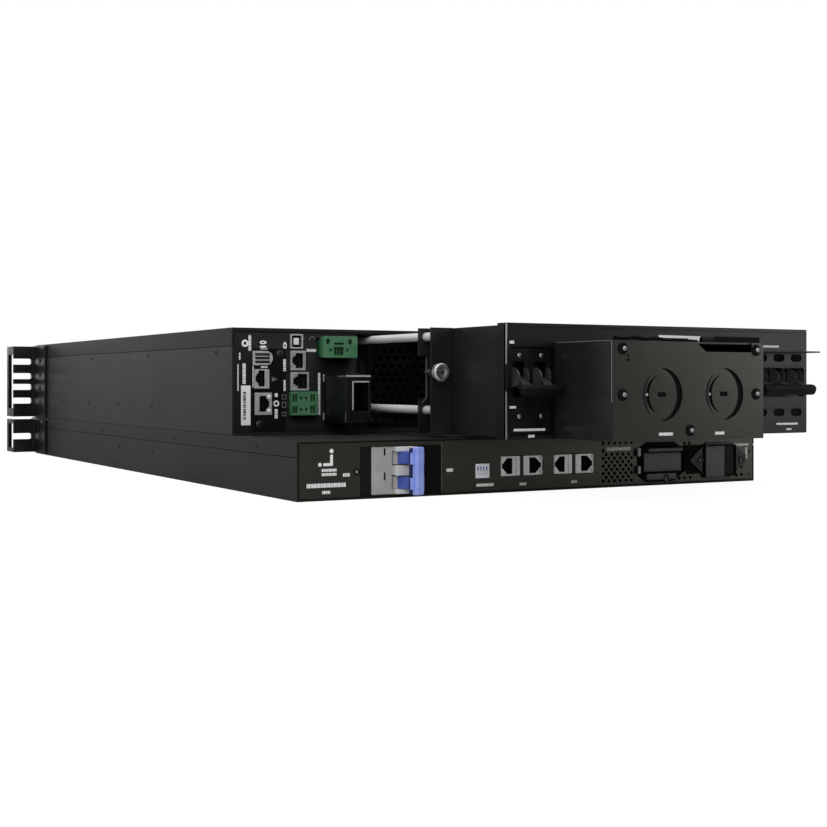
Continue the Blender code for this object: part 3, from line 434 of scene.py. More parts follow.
# Navy for the blue handle where it lies in shade, painted shade.
NAVY_SHADE = finish("tie_bar_painted_shade_blue", (0.004, 0.008, 0.06), (0.008, 0.014, 0.09), (0.4, 0.5), patch=7, grain=0.5, bump=0.15)
GREEN = finish("plug_green", (0.035, 0.15, 0.07), (0.05, 0.19, 0.09), (0.36, 0.48), patch=7, grain=0.4, bump=0.25)
GREEN_PALE = finish("plug_pale_green", (0.055, 0.19, 0.09), (0.08, 0.23, 0.115), (0.36, 0.5), patch=7, grain=0.4, bump=0.25)
# A deep-shaded copy of the plug green: painted shade in the plugs' wells and on the clamp screws sunk in them.
GREEN_DEEP_SHADE = finish("plug_green_deep_shade", (0.002, 0.012, 0.005), (0.004, 0.02, 0.008), (0.5, 0.6), patch=4, grain=0.4)
DIP_WHITE = finish("dip_body", (0.9, 0.9, 0.98), (0.95, 0.95, 1.0), (0.3, 0.4), patch=5, grain=0.3, bump=0.15)
DIP_LEVER = finish("dip_lever", grey(0.78), grey(0.88), (0.3, 0.4), patch=2, grain=0.2, bump=0.15)
ALUMINIUM = finish(
    "extruded_aluminium", grey(0.5), grey(0.64), (0.3, 0.42), metallic=1.0, patch=6, grain=0.5, squeeze=(1, 0.1, 1)
)
BOARD = finish("circuit_board", (0.01, 0.1, 0.03), (0.02, 0.16, 0.05), (0.35, 0.5), patch=3, grain=0.6, bump=0.4)
CORE = finish("laminated_core", grey(0.03), grey(0.07), (0.4, 0.55), metallic=0.4, patch=3, grain=0.5, squeeze=(1, 9, 1))
CELLS = finish("cell_wrap", (0.03, 0.08, 0.24), (0.05, 0.12, 0.32), (0.3, 0.45), patch=12, grain=1.5, bump=0.3)
GLASS = finish("display_glass", (0.003, 0.004, 0.008), (0.006, 0.008, 0.014), (0.05, 0.09), patch=40, grain=4, bump=0.02, coat=0.6)
SCREEN_BLUE = finish("display_light", (0.15, 0.45, 0.8), (0.2, 0.55, 0.9), (0.3, 0.4), patch=4, grain=0.5, bump=0.05)
LAMP_GREEN = finish("lamp_green", (0.8, 0.88, 0.8), (0.88, 0.94, 0.86), (0.15, 0.25), patch=2, grain=0.5, bump=0.05)
LAMP_AMBER = finish("lamp_amber", (0.9, 0.86, 0.78), (0.95, 0.9, 0.84), (0.15, 0.25), patch=2, grain=0.5, bump=0.05)


# ---------------------------------------------------------------- small repeated parts


def follow(node, material, slot, body=CHASSIS, edge=0.4, steps=2):
    """A node's own shape with rounded edges and a finish."""
    return Shape().cad(node, edge, steps).piece(node + "_shape", material, body, slot, [node])


def screw_heads(name, material, facing, spots, radius=2.6, height=1.0, body=CHASSIS, slot="painted_black"):
    """Domed screw heads at spots on a face, each with a flat dark cross as painted shade for its recess."""
    heads = Shape()
    crosses = Shape()
    for spot in spots:
        dome = [(radius, 0), (radius, 0.35 * height), (0.8 * radius, 0.8 * height), (0.5 * radius, height)]
        heads.turned(facing, spot, [(0.4 * radius, -0.5), *dome, (0, height)], 20)
        outward = Vector(FACINGS[facing][2])
        middle = Vector(spot) + outward * (height + 0.01)
        for turn in (0.3, 0.3 + math.pi / 2):
            bar = rounded(-0.5 * radius, -0.1 * radius, 0.5 * radius, 0.1 * radius)
            crosses.plate(facing, middle, bar, depth=0.06, edge=0, turn=turn)
    heads.piece(name, material, body, slot)
    crosses.piece(name + "_recess_shade", BLACK_AND_SHADE, body, slot)


def bars(shape, facing, spot, places, thick=0.12):
    """Thin printed bars, each given as its u and v ranges."""
    for (u_low, u_high), (v_low, v_high) in places:
        shape.plate(facing, spot, rounded(u_low, v_low, u_high, v_high), depth=thick, edge=0.02)
    return shape


def ticks(shape, facing, spot, places, thick=0.12):
    """Rows of short blank dashes that stand where the object has small print."""
    lengths = (1.0, 1.5, 0.8, 1.2, 1.8)
    gap = 0.3
    for (u_low, u_high), (v_low, v_high) in places:
        upright = v_high - v_low > u_high - u_low
        start, stop = (v_low, v_high) if upright else (u_low, u_high)
        count = 0
        while start < stop - 0.3:
            end = min(start + lengths[count % len(lengths)], stop)
            corners = (u_low, start, u_high, end) if upright else (start, v_low, end, v_high)
            shape.plate(facing, spot, rounded(*corners), depth=thick, edge=0.02)
            start = end + gap
            count += 1
    return shape


def hexagonal(u_low, u_high, v_low, v_high, pitch, rise):
    """Centres of a staggered hole pattern that fills a rectangle."""
    spots = []
    v, row = v_low, 0
    while v <= v_high:
        u = u_low + (pitch / 2 if row % 2 else 0.0)
        while u <= u_high:
            spots.append((u, v))
            u += pitch
        v += rise
        row += 1
    return spots


# ---------------------------------------------------------------- casings


def make_casings():
    """The folded steel cases, their covers, and dark strips inside the seams as painted shade, so the seams look dark.
    """
    for node in ("ups_chassis", "ups_top_cover", "battery_chassis", "battery_top_cover"):
        follow(node, CASING, "painted_black")
    strips = Shape()
    wall = 1.6
    inset = 3.0
    for chassis, cover in (("ups_chassis", "ups_top_cover"), ("battery_chassis", "battery_top_cover")):
        low, high = span(chassis)
        seam = (high.z + span(cover)[0].z) / 2
        for x in (low.x + wall, high.x - wall - 0.6):
            strips.box((x, low.y + inset, seam - 2), (x + 0.6, high.y - inset, seam + 2), 0.1)
    strips.piece("seam_shade_strips", BLACK_AND_SHADE)


def make_casing_screws():
    """Countersunk screws along both flanks and on the UPS's cover."""
    seats = Shape()
    recesses = Shape()
    upper = [(516, 108.5), (331, 108.5), (158, 108.5), (690, 108.5)]
    lower = [(624, 63), (526, 63), (424, 63), (321, 63)]
    battery = [(624, 21.3), (521, 21.3), (421, 21.3), (319, 21.3), (478, 36), (262, 36), (74, 36), (690, 36)]
    proud = 0.25
    for side, x in (("left", 0.0), ("right", 430.0)):
        outward = Vector(FACINGS[side][2])
        for y, z in upper + lower + battery:
            spot = Vector((x, y, z)) - outward * 0.02
            seats.turned(side, spot, [(2.5, -0.3), (2.5, proud), (1.9, proud), (1.5, 0.02), (0, 0.02)], 18)
            # Painted shade: a flat black cross on each screw for its recess.
            for turn in (0.4, 0.4 + math.pi / 2):
                slit = rounded(-1.3, -0.3, 1.3, 0.3)
                recesses.plate(side, spot + outward * 0.08, slit, depth=0.06, edge=0, turn=turn)
    seats.piece("flank_screws", BLACK_SCREW)
    recesses.piece("flank_screw_recess_shade", BLACK_AND_SHADE)
    lid_spots = [(x, y, 128.0) for x in (12, 418) for y in (150, 340, 530, 715)]
    cover = Shape()
    for spot in lid_spots:
        sunk = Vector(spot) - Vector((0, 0, 0.9))
        cover.turned("up", sunk, [(2.6, -0.4), (2.6, 0.55), (2.0, 0.85), (0.6, 0.85), (0, 0.5)], 18)
    cover.piece("lid_screws", BLACK_SCREW)


# ---------------------------------------------------------------- rack ears


def make_ear(node, side, slots, arm):
    """A rack ear: a leg on the flank, a plate with slots open to its outer edge, and a thin pull handle.

    side is -1 for the left ear and 1 for the right one.
    """
    low, high = span(node)
    outward = "left" if side < 0 else "right"
    leg_x, tip_x = (high.x, low.x) if side < 0 else (low.x, high.x)
    thick = 2.5
    reach = high.x - low.x
    plate_y = high.y - 33.6
    slot_half = 3.5
    slot_end = 7.7

    def flank_outline(points):
        return [(side * y, z) for y, z in points]

    def between(inner, outer, near, far, base, top):
        """The corners of a box between two distances out from the leg's inner face."""
        ends = sorted((leg_x + side * inner, leg_x + side * outer))
        return (ends[0], near, base), (ends[1], far, top)

    ear = Shape()
    leg = flank_outline(rounded(low.y, low.z, plate_y + thick, high.z, 0.8))
    ear.plate(outward, (leg_x + side * thick, 0, 0), leg, depth=thick, edge=0.5)
    outline = [(0.0, low.z), (reach, low.z)]
    for z in slots:
        outline += [(reach, z - slot_half), *arc(slot_end, z, slot_half, 270, 90, 10), (reach, z + slot_half)]
    outline += [(reach, high.z), (0.0, high.z)]
    across = [(leg_x + side * away, z) for away, z in outline]
    ear.plate("rear", (0, plate_y, 0), across, depth=thick, edge=0.3)
    root = plate_y + 0.6
    grip = [(root, low.z), (high.y, low.z), (high.y, high.z), (root, high.z), (root, high.z - arm)]
    grip += [(high.y - 8, high.z - arm), (high.y - 8, low.z + arm), (root, low.z + arm)]
    ear.plate(outward, (tip_x, 0, 0), flank_outline(grip), depth=thick, edge=0.5)
    ear.box(*between(reach - 4.6, reach - 0.2, high.y - 7.5, high.y - 0.2, low.z + 0.3, high.z - 0.3), 2.0, 3)
    ear.piece(node + "_body", SATIN, CHASSIS, "satin_black", [node])
    # Painted highlights: pale strips along the ear's bend and the plate's outer edge beside the slots.
    pale_edges = Shape()
    pale_edges.box(*between(thick - 0.4, thick + 0.1, plate_y - 0.1, plate_y + 0.5, low.z + 0.6, high.z - 0.6), 0.05)
    for base, top in ((low.z + 1, slots[0] - 5), (slots[-1] + 5, high.z - 1)):
        pale_edges.box(*between(reach - 0.5, reach - 0.02, plate_y - 0.06, plate_y + 0.3, base, top), 0.05)
    pale_edges.piece(node + "_edge_highlights", PRINT_GREY_AND_HIGHLIGHT, CHASSIS, "satin_black")
    bosses = Shape()
    step = (high.z - low.z) / (len(slots) + 1)
    for number in range(1, len(slots) + 1):
        spot = (leg_x + side * (thick - 0.3), low.y + 22, low.z + number * step)
        bosses.turned(outward, spot, [(4.2, 0), (3.9, 0.75), (3.2, 0.95), (1.4, 0.95), (1.1, 0.5), (0, 0.5)], 24)
    bosses.piece(node + "_screws", CASING, CHASSIS, "satin_black")
    # A zinc rivet on the leg; its bright metal also stands in for a glint seen there, a painted highlight.
    glint = Shape().turned(outward, (leg_x + side * thick, low.y + 13, high.z - 2.6), [(1.7, -0.2), (1.7, 0.3), (0, 0.5)], 14)
    glint.piece(node + "_rivet", ZINC, CHASSIS, "satin_black")


def make_ears():
    """The ears of both modules, on both flanks."""
    for label, side in (("left", -1), ("right", 1)):
        make_ear(f"ups_ear_{label}", side, (62.4, 78.6, 91.4, 108.5), 10.0)
        make_ear(f"battery_ear_{label}", side, (20.4,), 5.2)


# ---------------------------------------------------------------- sockets on the port wall


def jack_opening(hole, tab, slanted=False):
    """A network socket's opening, with its latch notch towards the tab side, -1 left or 1 right."""
    u_low, v_low, u_high, v_high = hole
    wide, tall = u_high - u_low, v_high - v_low
    middle = (v_low + v_high) / 2
    shoulder, notch = (0.52, 0.86) if slanted else (0.68, 0.86)
    neck, nose = (0.2, 0.16) if slanted else (0.31, 0.19)
    half = [(0.0, 0.5), (shoulder, 0.5)]
    half += [(notch, neck)] if slanted else [(shoulder, neck), (notch, neck)]
    half += [(notch, nose), (1.0, nose)]
    points = half + [(along, -across) for along, across in reversed(half)]
    start = u_high if tab < 0 else u_low
    return [(start + tab * along * wide, middle + across * tall) for along, across in points]


def make_jack(name, frame_box, hole, tab, face, slot_node=None, lights=False, slanted=False, look=TIN):
    """A shielded network socket: tin shell, black insert, gold contacts and its two lights."""
    u_low, v_low, u_high, v_high = hole
    opening = jack_opening(hole, tab, slanted)
    shell = Shape()
    shell.plate("rear", (0, face, 0), rounded(*frame_box, 0.5), [opening], depth=3.0, edge=0.25)
    shell.box((frame_box[0] + 0.3, face + 2.9, frame_box[1] + 0.3), (frame_box[2] - 0.3, face + 3.4, frame_box[3] - 0.3))
    back = 12.0
    shell.piece(name + "_shell", look, CHASSIS, "connector_shell", [slot_node] if slot_node else [])
    insert = Shape()
    margin = 0.35
    grown = (u_low - margin, v_low - margin, u_high + margin, v_high + margin)
    liner = jack_opening((u_low + 0.3, v_low + 0.3, u_high - 0.3, v_high - 0.3), tab, slanted)
    insert.plate("rear", (0, face + 0.5, 0), rounded(*grown), [liner], depth=2.4, edge=0.1)
    insert.box((u_low, face + 2.6, v_low), (u_high, face + 2.88, v_high), 0.05)
    insert.piece(name + "_insert", BLACK_AND_SHADE, CHASSIS, "black_plastic")
    contacts = Shape()
    count = 8
    side_u = u_high - 1.2 if tab < 0 else u_low + 1.2
    for number in range(count):
        z = v_low + (v_high - v_low) * (number + 1) / (count + 1)
        points = [(side_u, face + 1.3, z), (side_u + tab * 0.8, face + 1.9, z), (side_u + tab * 1.8, face + 2.55, z)]
        contacts.wire(points, 0.15, 6)
    contacts.piece(name + "_contacts", GOLD, CHASSIS, "connector_shell")
    if lights:
        u = u_high - 0.2 if tab > 0 else u_low + 0.2
        for label, z, lamp in (("upper", v_high - 0.6, LAMP_GREEN), ("lower", v_low + 0.6, LAMP_AMBER)):
            dome = Shape().turned("rear", (u, face + 0.2, z), [(1.7, -0.5), (1.7, 0.35), (1.2, 0.7), (0, 0.8)], 18)
            dome.piece(f"{name}_light_{label}", lamp, CHASSIS, "connector_shell")


def make_usb_a():
    """The card's upright twin slot: a rounded tin frame with two tongues."""
    low, high = span("card_usb_port")
    face = low.y
    frame_box = (16.9, 98.2, 34.3, 109.7)
    shell = Shape()
    slots = [
        rounded(19.2, 99.9 + 2.95 * row, 31.8, 101.9 + 2.95 * row, 0.5) for row in range(3)
    ]
    outline = [(frame_box[0], frame_box[1])] + arc(frame_box[2] - 5.7, 103.95, 5.75, -90, 90, 14)
    outline += [(frame_box[0], frame_box[3])]
    shell.plate("rear", (0, face, 0), outline, slots, depth=1.4, edge=0.2)
    shell.piece("card_usb_shell", TIN, CHASSIS, "connector_shell", ["card_usb_port"])
    inside = Shape()
    inside.box((18.6, face + 1.45, 99.3), (32.6, high.y, 108.6), 0.2)
    inside.piece("card_usb_inside", BLACK_AND_SHADE, CHASSIS, "black_plastic")
    tongues = Shape()
    for row in range(3):
        base = 100.6 + 2.95 * row
        tongues.box((20.4, face + 0.35, base), (30.6, face + 1.44, base + 0.55), 0.1)
    tongues.piece("card_usb_tongues", MOULDED_GREY, CHASSIS, "black_plastic")


def make_usb_b():
    """The square device socket: tin frame, dark well and white centre."""
    low, high = span("usb_b_port")
    face = low.y - 0.5
    outer = (49.6, 111.7, 60.9, 123.6)
    shell = Shape()
    shell.plate("rear", (0, face, 0), rounded(*outer, 1.0), [rounded(51.0, 113.0, 59.5, 122.3, 1.0)], depth=2.6)
    shell.piece("usb_b_shell", TIN, CHASSIS, "connector_shell", ["usb_b_port"])
    well = Shape().box((50.6, face + 2.3, 112.6), (59.9, face + 2.6, 122.7), 0.05)
    well.piece("usb_b_well", BLACK_AND_SHADE, CHASSIS, "black_plastic")
    ring = Shape()
    ring.box((53.0, face + 0.4, 115.0), (57.4, face + 2.2, 120.4), 0.3)
    ring.piece("usb_b_centre", DIP_LEVER, CHASSIS, "white_plastic")


def make_card():
    """The network card's plate, its sockets, screws and blank marks."""
    low, high = span("network_card_plate")
    face = low.y
    windows = [rounded(18.0, 58.0, 34.4, 77.2), rounded(18.2, 79.0, 32.6, 95.6), rounded(17.8, 97.9, 34.8, 110.0)]
    plate = Shape().plate(
        "rear", (0, face, 0), rounded(low.x, low.z, high.x, high.z, 0.8), windows, depth=0.9, edge=0.15
    )
    plate.box((low.x + 0.5, face + 0.9, low.z + 0.4), (high.x - 0.5, face + 1.1, 57.5), 0.05)
    plate.piece("network_card_faceplate", POWDER_DARK_AND_SHADE, CHASSIS, "satin_black", ["network_card_plate"])
    screw_heads("card_screws", BLACK_SCREW, "rear", [(22.8, face, 51.2), (40.6, face, 107.6)], 3.0, 1.0)
    make_usb_a()
    ports = span("card_jack_upper")[0].y
    make_jack("card_jack_upper", (18.3, 79.6, 31.4, 95.2), (19.6, 81.5, 27.2, 94.1), -1, ports, "card_jack_upper")
    make_jack("card_jack_lower", (18.8, 58.7, 33.6, 76.5), (22.9, 61.4, 31.2, 73.8), 1, ports, "card_jack_lower", True)


def make_wall_ports():
    """The UPS's own sockets beside the card."""
    make_usb_b()
    face = span("serial_jack_upper")[0].y - 0.6
    make_jack("serial_jack_upper", (49.8, 94.2, 63.2, 110.2), (51.4, 96.2, 60.7, 108.2), -1, face, "serial_jack_upper")
    make_jack("serial_jack_lower", (49.8, 78.0, 66.2, 93.0), (52.2, 79.6, 64.4, 91.4), -1, face, "serial_jack_lower")


def make_dry_contact_plug():
    """The green eight-way plug in its header: four wire entries at the sides, four clamp screws between."""
    low, high = span("dry_contact_plug")
    holes = []
    low, high = low + Vector((-1.1, 0, -1.1)), high + Vector((-1.5, 0, 1.6))
    for u in (50.2, 66.0):
        for v in (59.9, 69.2):
            holes += [rounded(u, v, u + 2.0, v + 5.6, 0.3), rounded(u + 2.3, v, u + 4.3, v + 5.6, 0.3)]
    centres = [(57.8, 62.7), (62.4, 62.7), (57.8, 72.0), (62.4, 72.0)]
    holes += [rounded(u - 0.95, v - 1.1, u + 0.95, v + 1.1, 0.3) for u, v in centres]
    body = Shape()
    outline = rounded(low.x, low.z, high.x, high.z, 0.6)
    body.plate("rear", (0, low.y, 0), outline, holes, depth=2.4, edge=0.3)
    body.box((low.x + 0.2, low.y + 3.0, low.z + 0.2), (high.x - 0.2, high.y, high.z - 0.2), 0.4)
    for u, width in ((low.x - 0.25, 1.0), (high.x - 0.75, 1.0)):
        for v in (62.0, 70.5):
            body.box((u, low.y + 0.8, v), (u + width, low.y + 9, v + 2.6), 0.3)
    body.piece("dry_contact_plug_body", GREEN_PALE, "dry_contact_plug", "green_plastic", ["dry_contact_plug"])
    # Painted shade: deep green wells behind the plug's openings.
    back = Shape().box((low.x + 0.5, low.y + 2.4, low.z + 0.5), (high.x - 0.5, low.y + 3.0, high.z - 0.5), 0.1)
    back.piece("dry_contact_plug_wells", GREEN_DEEP_SHADE, "dry_contact_plug", "green_plastic")
    header = Shape()
    header.box((49.7, low.y + 3.6, 57.9), (73.2, high.y + 3, 77.3), 0.4)
    header.piece("dry_contact_header_block", GREEN_PALE, CHASSIS, "green_plastic", ["dry_contact_header"])


def make_power_off_plug():
    """The larger green plug at the top of the wall."""
    low, high = span("power_off_plug")
    face = low.y
    low = low + Vector((3.9, 0, 0.5))
    screw_spots = [(79.4, 117.6), (99.3, 117.6)]
    holes = [circle(u, v, 1.9, 16, 1.25) for u, v in screw_spots]
    holes += [rounded(u - 0.9, 109.4, u + 0.9, 111.9, 0.4) for u in (81.7, 96.9)]
    holes += [rounded(84.9, 106.9, 93.5, 113.2, 0.5), rounded(84.9, 115.2, 93.4, 116.6, 0.3)]
    body = Shape()
    body.plate("rear", (0, face, 0), rounded(low.x, low.z, high.x, high.z, 1.0), holes, depth=3.0, edge=0.3)
    # The dividers take the darker green, painted shade for the recess they stand in.
    dividers = Shape()
    for u in (87.5, 90.3):
        dividers.box((u, face + 1.5, 106.8), (u + 0.5, face + 3.1, 113.3), 0.1)
    dividers.box((84.8, face + 1.5, 109.9), (93.6, face + 3.1, 110.3), 0.1)
    dividers.piece("power_off_plug_dividers", GREEN, "power_off_plug", "green_plastic")
    body.box((low.x + 0.4, face + 3.6, low.z + 0.4), (high.x - 0.4, face + 7.0, high.z - 0.4), 0.5)
    body.box((low.x + 3.8, face + 6.8, low.z + 3.6), (high.x - 3.8, high.y, high.z - 3.6), 0.4)
    body.piece("power_off_plug_body", GREEN_PALE, "power_off_plug", "green_plastic", ["power_off_plug"])
    # Painted shade: deep green wells behind the plug's openings.
    wells = Shape().box((low.x + 0.8, face + 3.0, low.z + 0.8), (high.x - 0.8, face + 3.6, high.z - 0.8), 0.1)
    wells.piece("power_off_plug_wells", GREEN_DEEP_SHADE, "power_off_plug", "green_plastic")
    # Painted shade: the clamp screws take the deep-shaded green.
    clamp = Shape()
    for u, v in screw_spots:
        clamp.turned("rear", (u, face + 2.9, v), [(1.6, -0.3), (1.6, 1.2), (1.2, 1.5), (0, 1.5)], 16)
    clamp.piece("power_off_plug_screws", GREEN_DEEP_SHADE, "power_off_plug", "green_plastic")
    header = Shape().box((low.x + 1.0, face + 7.6, low.z + 1.0), (high.x - 1.5, high.y + 4, high.z - 1.5), 0.4)
    header.piece("power_off_header_block", GREEN, CHASSIS, "green_plastic", ["power_off_header"])


def make_cable_socket():
    """The black battery cable socket that stands out of the wall, with painted highlights along its top edge, round its
    mouth and at its left corners.
    """
    low, high = span("battery_cable_socket")
    pocket = (86.8, 61.6, 99.8, 84.4)
    body = Shape()
    body.cad("battery_cable_socket", 0.9, 3)
    body.piece("battery_cable_socket_body", MOULDED, CHASSIS, "black_plastic", ["battery_cable_socket"])
    # Painted highlights: light bars along the socket's top edge and round its mouth.
    rims = Shape()
    face = low.y
    rims.box((low.x + 0.4, face - 0.05, high.z - 1.9), (high.x - 0.6, face + 0.5, high.z - 0.5), 0.3)
    rims.box((pocket[0] - 1.5, face - 0.1, pocket[1] + 1.0), (pocket[0] - 0.1, face + 0.6, pocket[3] + 1.2), 0.35)
    rims.box((pocket[0] - 1.5, face - 0.1, pocket[3] + 0.1), (pocket[2] + 0.8, face + 0.6, pocket[3] + 1.4), 0.35)
    rims.piece("battery_cable_socket_rim_highlights", HIGHLIGHT_GREY, CHASSIS, "black_plastic")
    # Painted highlights: grey strips on the socket's left corners.
    corner = Shape().box((low.x - 0.05, face - 0.05, low.z + 2), (low.x + 0.4, face + 0.4, low.z + 9), 0.1)
    corner.box((low.x - 0.05, face + 0.6, high.z - 2.0), (low.x + 0.6, face + 14, high.z - 0.7), 0.2)
    corner.piece("battery_cable_socket_corner_highlight", PRINT_GREY_AND_HIGHLIGHT, CHASSIS, "black_plastic")
    latch = Shape()
    latch.box((low.x + 6.5, low.y + 4, high.z - 0.4), (high.x - 6.5, low.y + 24, high.z + 0.9), 0.5)
    for step in range(5):
        y = low.y + 6 + step * 2.6
        latch.box((low.x + 7.5, y, high.z + 0.6), (high.x - 7.5, y + 1.0, high.z + 1.4), 0.3)
    latch.piece("battery_cable_socket_latch", MOULDED, CHASSIS, "black_plastic")


def make_wall_marks():
    """Blank bars, rings and a bar-coded sticker where the port wall and its card carry print."""
    wall = span("ups_rear_panel")[0].y - 0.1
    card = span("network_card_plate")[0].y - 0.1
    print_bars = Shape()
    ticks(
        print_bars,
        "rear",
        (0, wall, 0),
        [
            ((8.9, 11.6), (83.6, 99.7)),
            ((4.6, 5.6), (78.0, 98.9)),
            ((5.9, 7.2), (102.6, 108.2)),
            ((64.3, 72.9), (109.4, 111.7)),
            ((74.6, 76.6), (58.2, 92.3)),
            ((79.3, 80.9), (85.5, 91.4)),
            ((79.3, 80.7), (54.2, 60.1)),
            ((13.9, 16.2), (109.8, 122.1)),
        ],
    )
    print_bars.piece("wall_print", PRINT)
    card_bars = Shape()
    ticks(
        card_bars,
        "rear",
        (0, card, 0),
        [
            ((35.9, 38.5), (55.8, 63.5)),
            ((23.6, 29.7), (111.0, 111.6)),
            ((43.3, 45.6), (93.7, 103.3)),
            ((43.6, 45.4), (77.8, 86.5)),
            ((16.9, 17.8), (80.8, 97.4)),
            ((24.1, 29.7), (96.2, 97.4)),
        ],
    )
    bars(card_bars, "rear", (0, card, 0), [((35.9, 38.5), (73.0, 76.0))])
    arrow = Shape().plate("rear", (0, card, 0), [(33.4, 85.2), (38.4, 87.2), (33.4, 89.2)], depth=0.12, edge=0.02)
    arrow.piece("card_arrow", PRINT_GREY_AND_HIGHLIGHT)
    ring = [circle(37.3, 67.8, 1.4, 18)]
    card_bars.plate("rear", (0, card, 0), circle(37.3, 67.8, 2.5, 18), ring, depth=0.12, edge=0.02)
    card_bars.piece("card_print", PRINT)
    rings = Shape()
    rings.plate("rear", (0, wall, 0), circle(11.0, 115.6, 2.9, 20), [circle(11.0, 115.6, 1.3, 16)], 0.12, 0.02)
    rings.plate("rear", (0, wall, 0), circle(26.4, 116.5, 3.0, 20, 0.5), [circle(26.4, 116.5, 1.4, 16, 0.4)], 0.12, 0.02)
    rings.plate("rear", (0, wall, 0), circle(26.4, 113.0, 3.0, 20, 0.3), (), 0.12, 0.02)
    rings.plate("rear", (0, wall, 0), circle(45.3, 114.1, 1.6, 16, 1.9), [circle(45.3, 114.1, 0.8, 12, 1.4)], 0.12, 0.02)
    hook = arc(69.4, 119.2, 2.7, 20, 200, 14) + arc(69.4, 119.2, 2.0, 200, 20, 14)
    outlined = Shape().plate("rear", (0, wall, 0), hook, depth=0.12, edge=0.02)
    outlined.piece("wall_hook", PRINT_GREY_AND_HIGHLIGHT)
    rings.piece("wall_symbols", PRINT)
    outlines = Shape()
    for v_low, v_high in ((71.0, 75.0), (64.3, 69.2), (57.6, 61.0)):
        outer = rounded(42.2, v_low, 45.9, v_high)
        outlines.plate("rear", (0, card, 0), outer, [rounded(42.8, v_low + 0.7, 45.3, v_high - 0.7)], 0.12, 0.02)
    outlines.piece("card_outlines", PRINT_GREY_AND_HIGHLIGHT)
    sticker = Shape().plate("rear", (0, wall + 0.02, 0), rounded(7.7, 50.8, 15.7, 82.2, 0.4), depth=0.14, edge=0.03)
    sticker.piece("wall_sticker", LABEL_AND_HIGHLIGHT_WHITE)
    code = Shape()
    heights = (0.5, 1.0, 0.4, 0.7, 1.2, 0.5, 0.9, 0.4)
    z, count = 55.0, 0
    while z < 77.5:
        code.plate("rear", (0, wall - 0.13, 0), rounded(9.3, z, 11.8, z + heights[count % 8]), depth=0.05, edge=0)
        z += heights[count % 8] + heights[(count + 3) % 8] * 0.8
        count += 1
    code.piece("wall_sticker_bars", BLACK_AND_SHADE)


# ---------------------------------------------------------------- fan recess


def make_rear_wall():
    """The UPS's folded rear wall, and the rolled lip under its cover."""
    follow("ups_rear_panel", POWDER_DARK_AND_SHADE, "painted_black", edge=0.25)
    low, high = span("ups_rear_panel")
    ledge = Shape()
    ledge.box((112, low.y + 0.5, high.z - 0.6), (428, low.y + 14, high.z - 0.1), 0.2)
    ledge.piece("rear_wall_fold", POWDER_DARK_AND_SHADE)


def make_fan():
    """The perforated screen over the exhaust fan, its rivets, and the fan behind it."""
    low, high = span("fan_grille")
    outline = rounded(low.x, low.z, high.x, high.z, 1.5)
    pitch, rise, radius = 7.4, 6.4, 2.35
    spots = hexagonal(low.x + 5.5, high.x - 4.5, low.z + 6.0, high.z - 4.0, pitch, rise)
    corners = [(low.x + 4, low.z + 4), (high.x - 4, low.z + 4), (low.x + 4, high.z - 4), (high.x - 4, high.z - 4)]
    clear = [(u, v) for u, v in spots if all(math.hypot(u - a, v - b) > 6.0 for a, b in corners)]
    screen = Shape()
    screen.plate("rear", (0, low.y, 0), outline, [circle(u, v, radius, 10) for u, v in clear], depth=1.0, edge=0.15)
    screen.piece("fan_screen", POWDER_DARK_AND_SHADE, CHASSIS, "satin_black", ["fan_grille"])
    rivets = Shape()
    for u, v in corners:
        rivets.turned("rear", (u, low.y + 0.1, v), [(2.4, 0), (2.2, 0.6), (1.2, 1.0), (0, 1.1)], 18)
    rivets.piece("fan_screen_rivets", BLACK_SCREW, CHASSIS, "satin_black")
    follow("fan_frame", MOULDED, "black_plastic", edge=0.5)
    follow("fan_rotor", MOULDED, "black_plastic", "fan_rotor", edge=0.2)


def make_rods():
    """Two plated guide rods with stepped, rounded ends."""
    for label in ("upper", "lower"):
        node = f"guide_rod_{label}"
        low, high = span(node)
        middle = (low + high) / 2
        radius = (high.x - low.x) / 2
        length = high.y - low.y
        profile = [(0, 0), (radius - 1.0, 0), (radius, 0.9), (radius, length - 18.2), (radius - 0.35, length - 18.0)]
        profile += [(radius - 0.35, length - 17.0), (radius, length - 16.8), (radius, length - 0.8)]
        profile += [(radius - 0.8, length), (0, length)]
        rod = Shape().turned("rear", (middle.x, high.y, middle.z), profile, 32)
        rod.piece(node + "_bar", CHROME, CHASSIS, "chrome_steel", [node])


def make_bracket():
    """The folded bracket that carries the thumbscrew, with painted highlights on its edges."""
    follow("thumbscrew_bracket", SATIN, "satin_black", edge=0.3)
    low, high = span("thumbscrew_bracket")
    # Painted highlights: light grey strips on the tab's edge and along the cut-back corner.
    edges = Shape()
    tab_y = high.y - 1.6
    edges.box((124.9, tab_y, 73.5), (125.35, tab_y + 1.2, 103.5), 0.1)
    edges.wire([(125.1, tab_y + 0.3, 73.6), (123.6, tab_y + 0.3, 71.2), (120.6, tab_y + 0.3, 68.6)], 0.35, 6)
    edges.piece("thumbscrew_bracket_edge_highlights", PRINT_GREY_AND_HIGHLIGHT, CHASSIS, "satin_black")


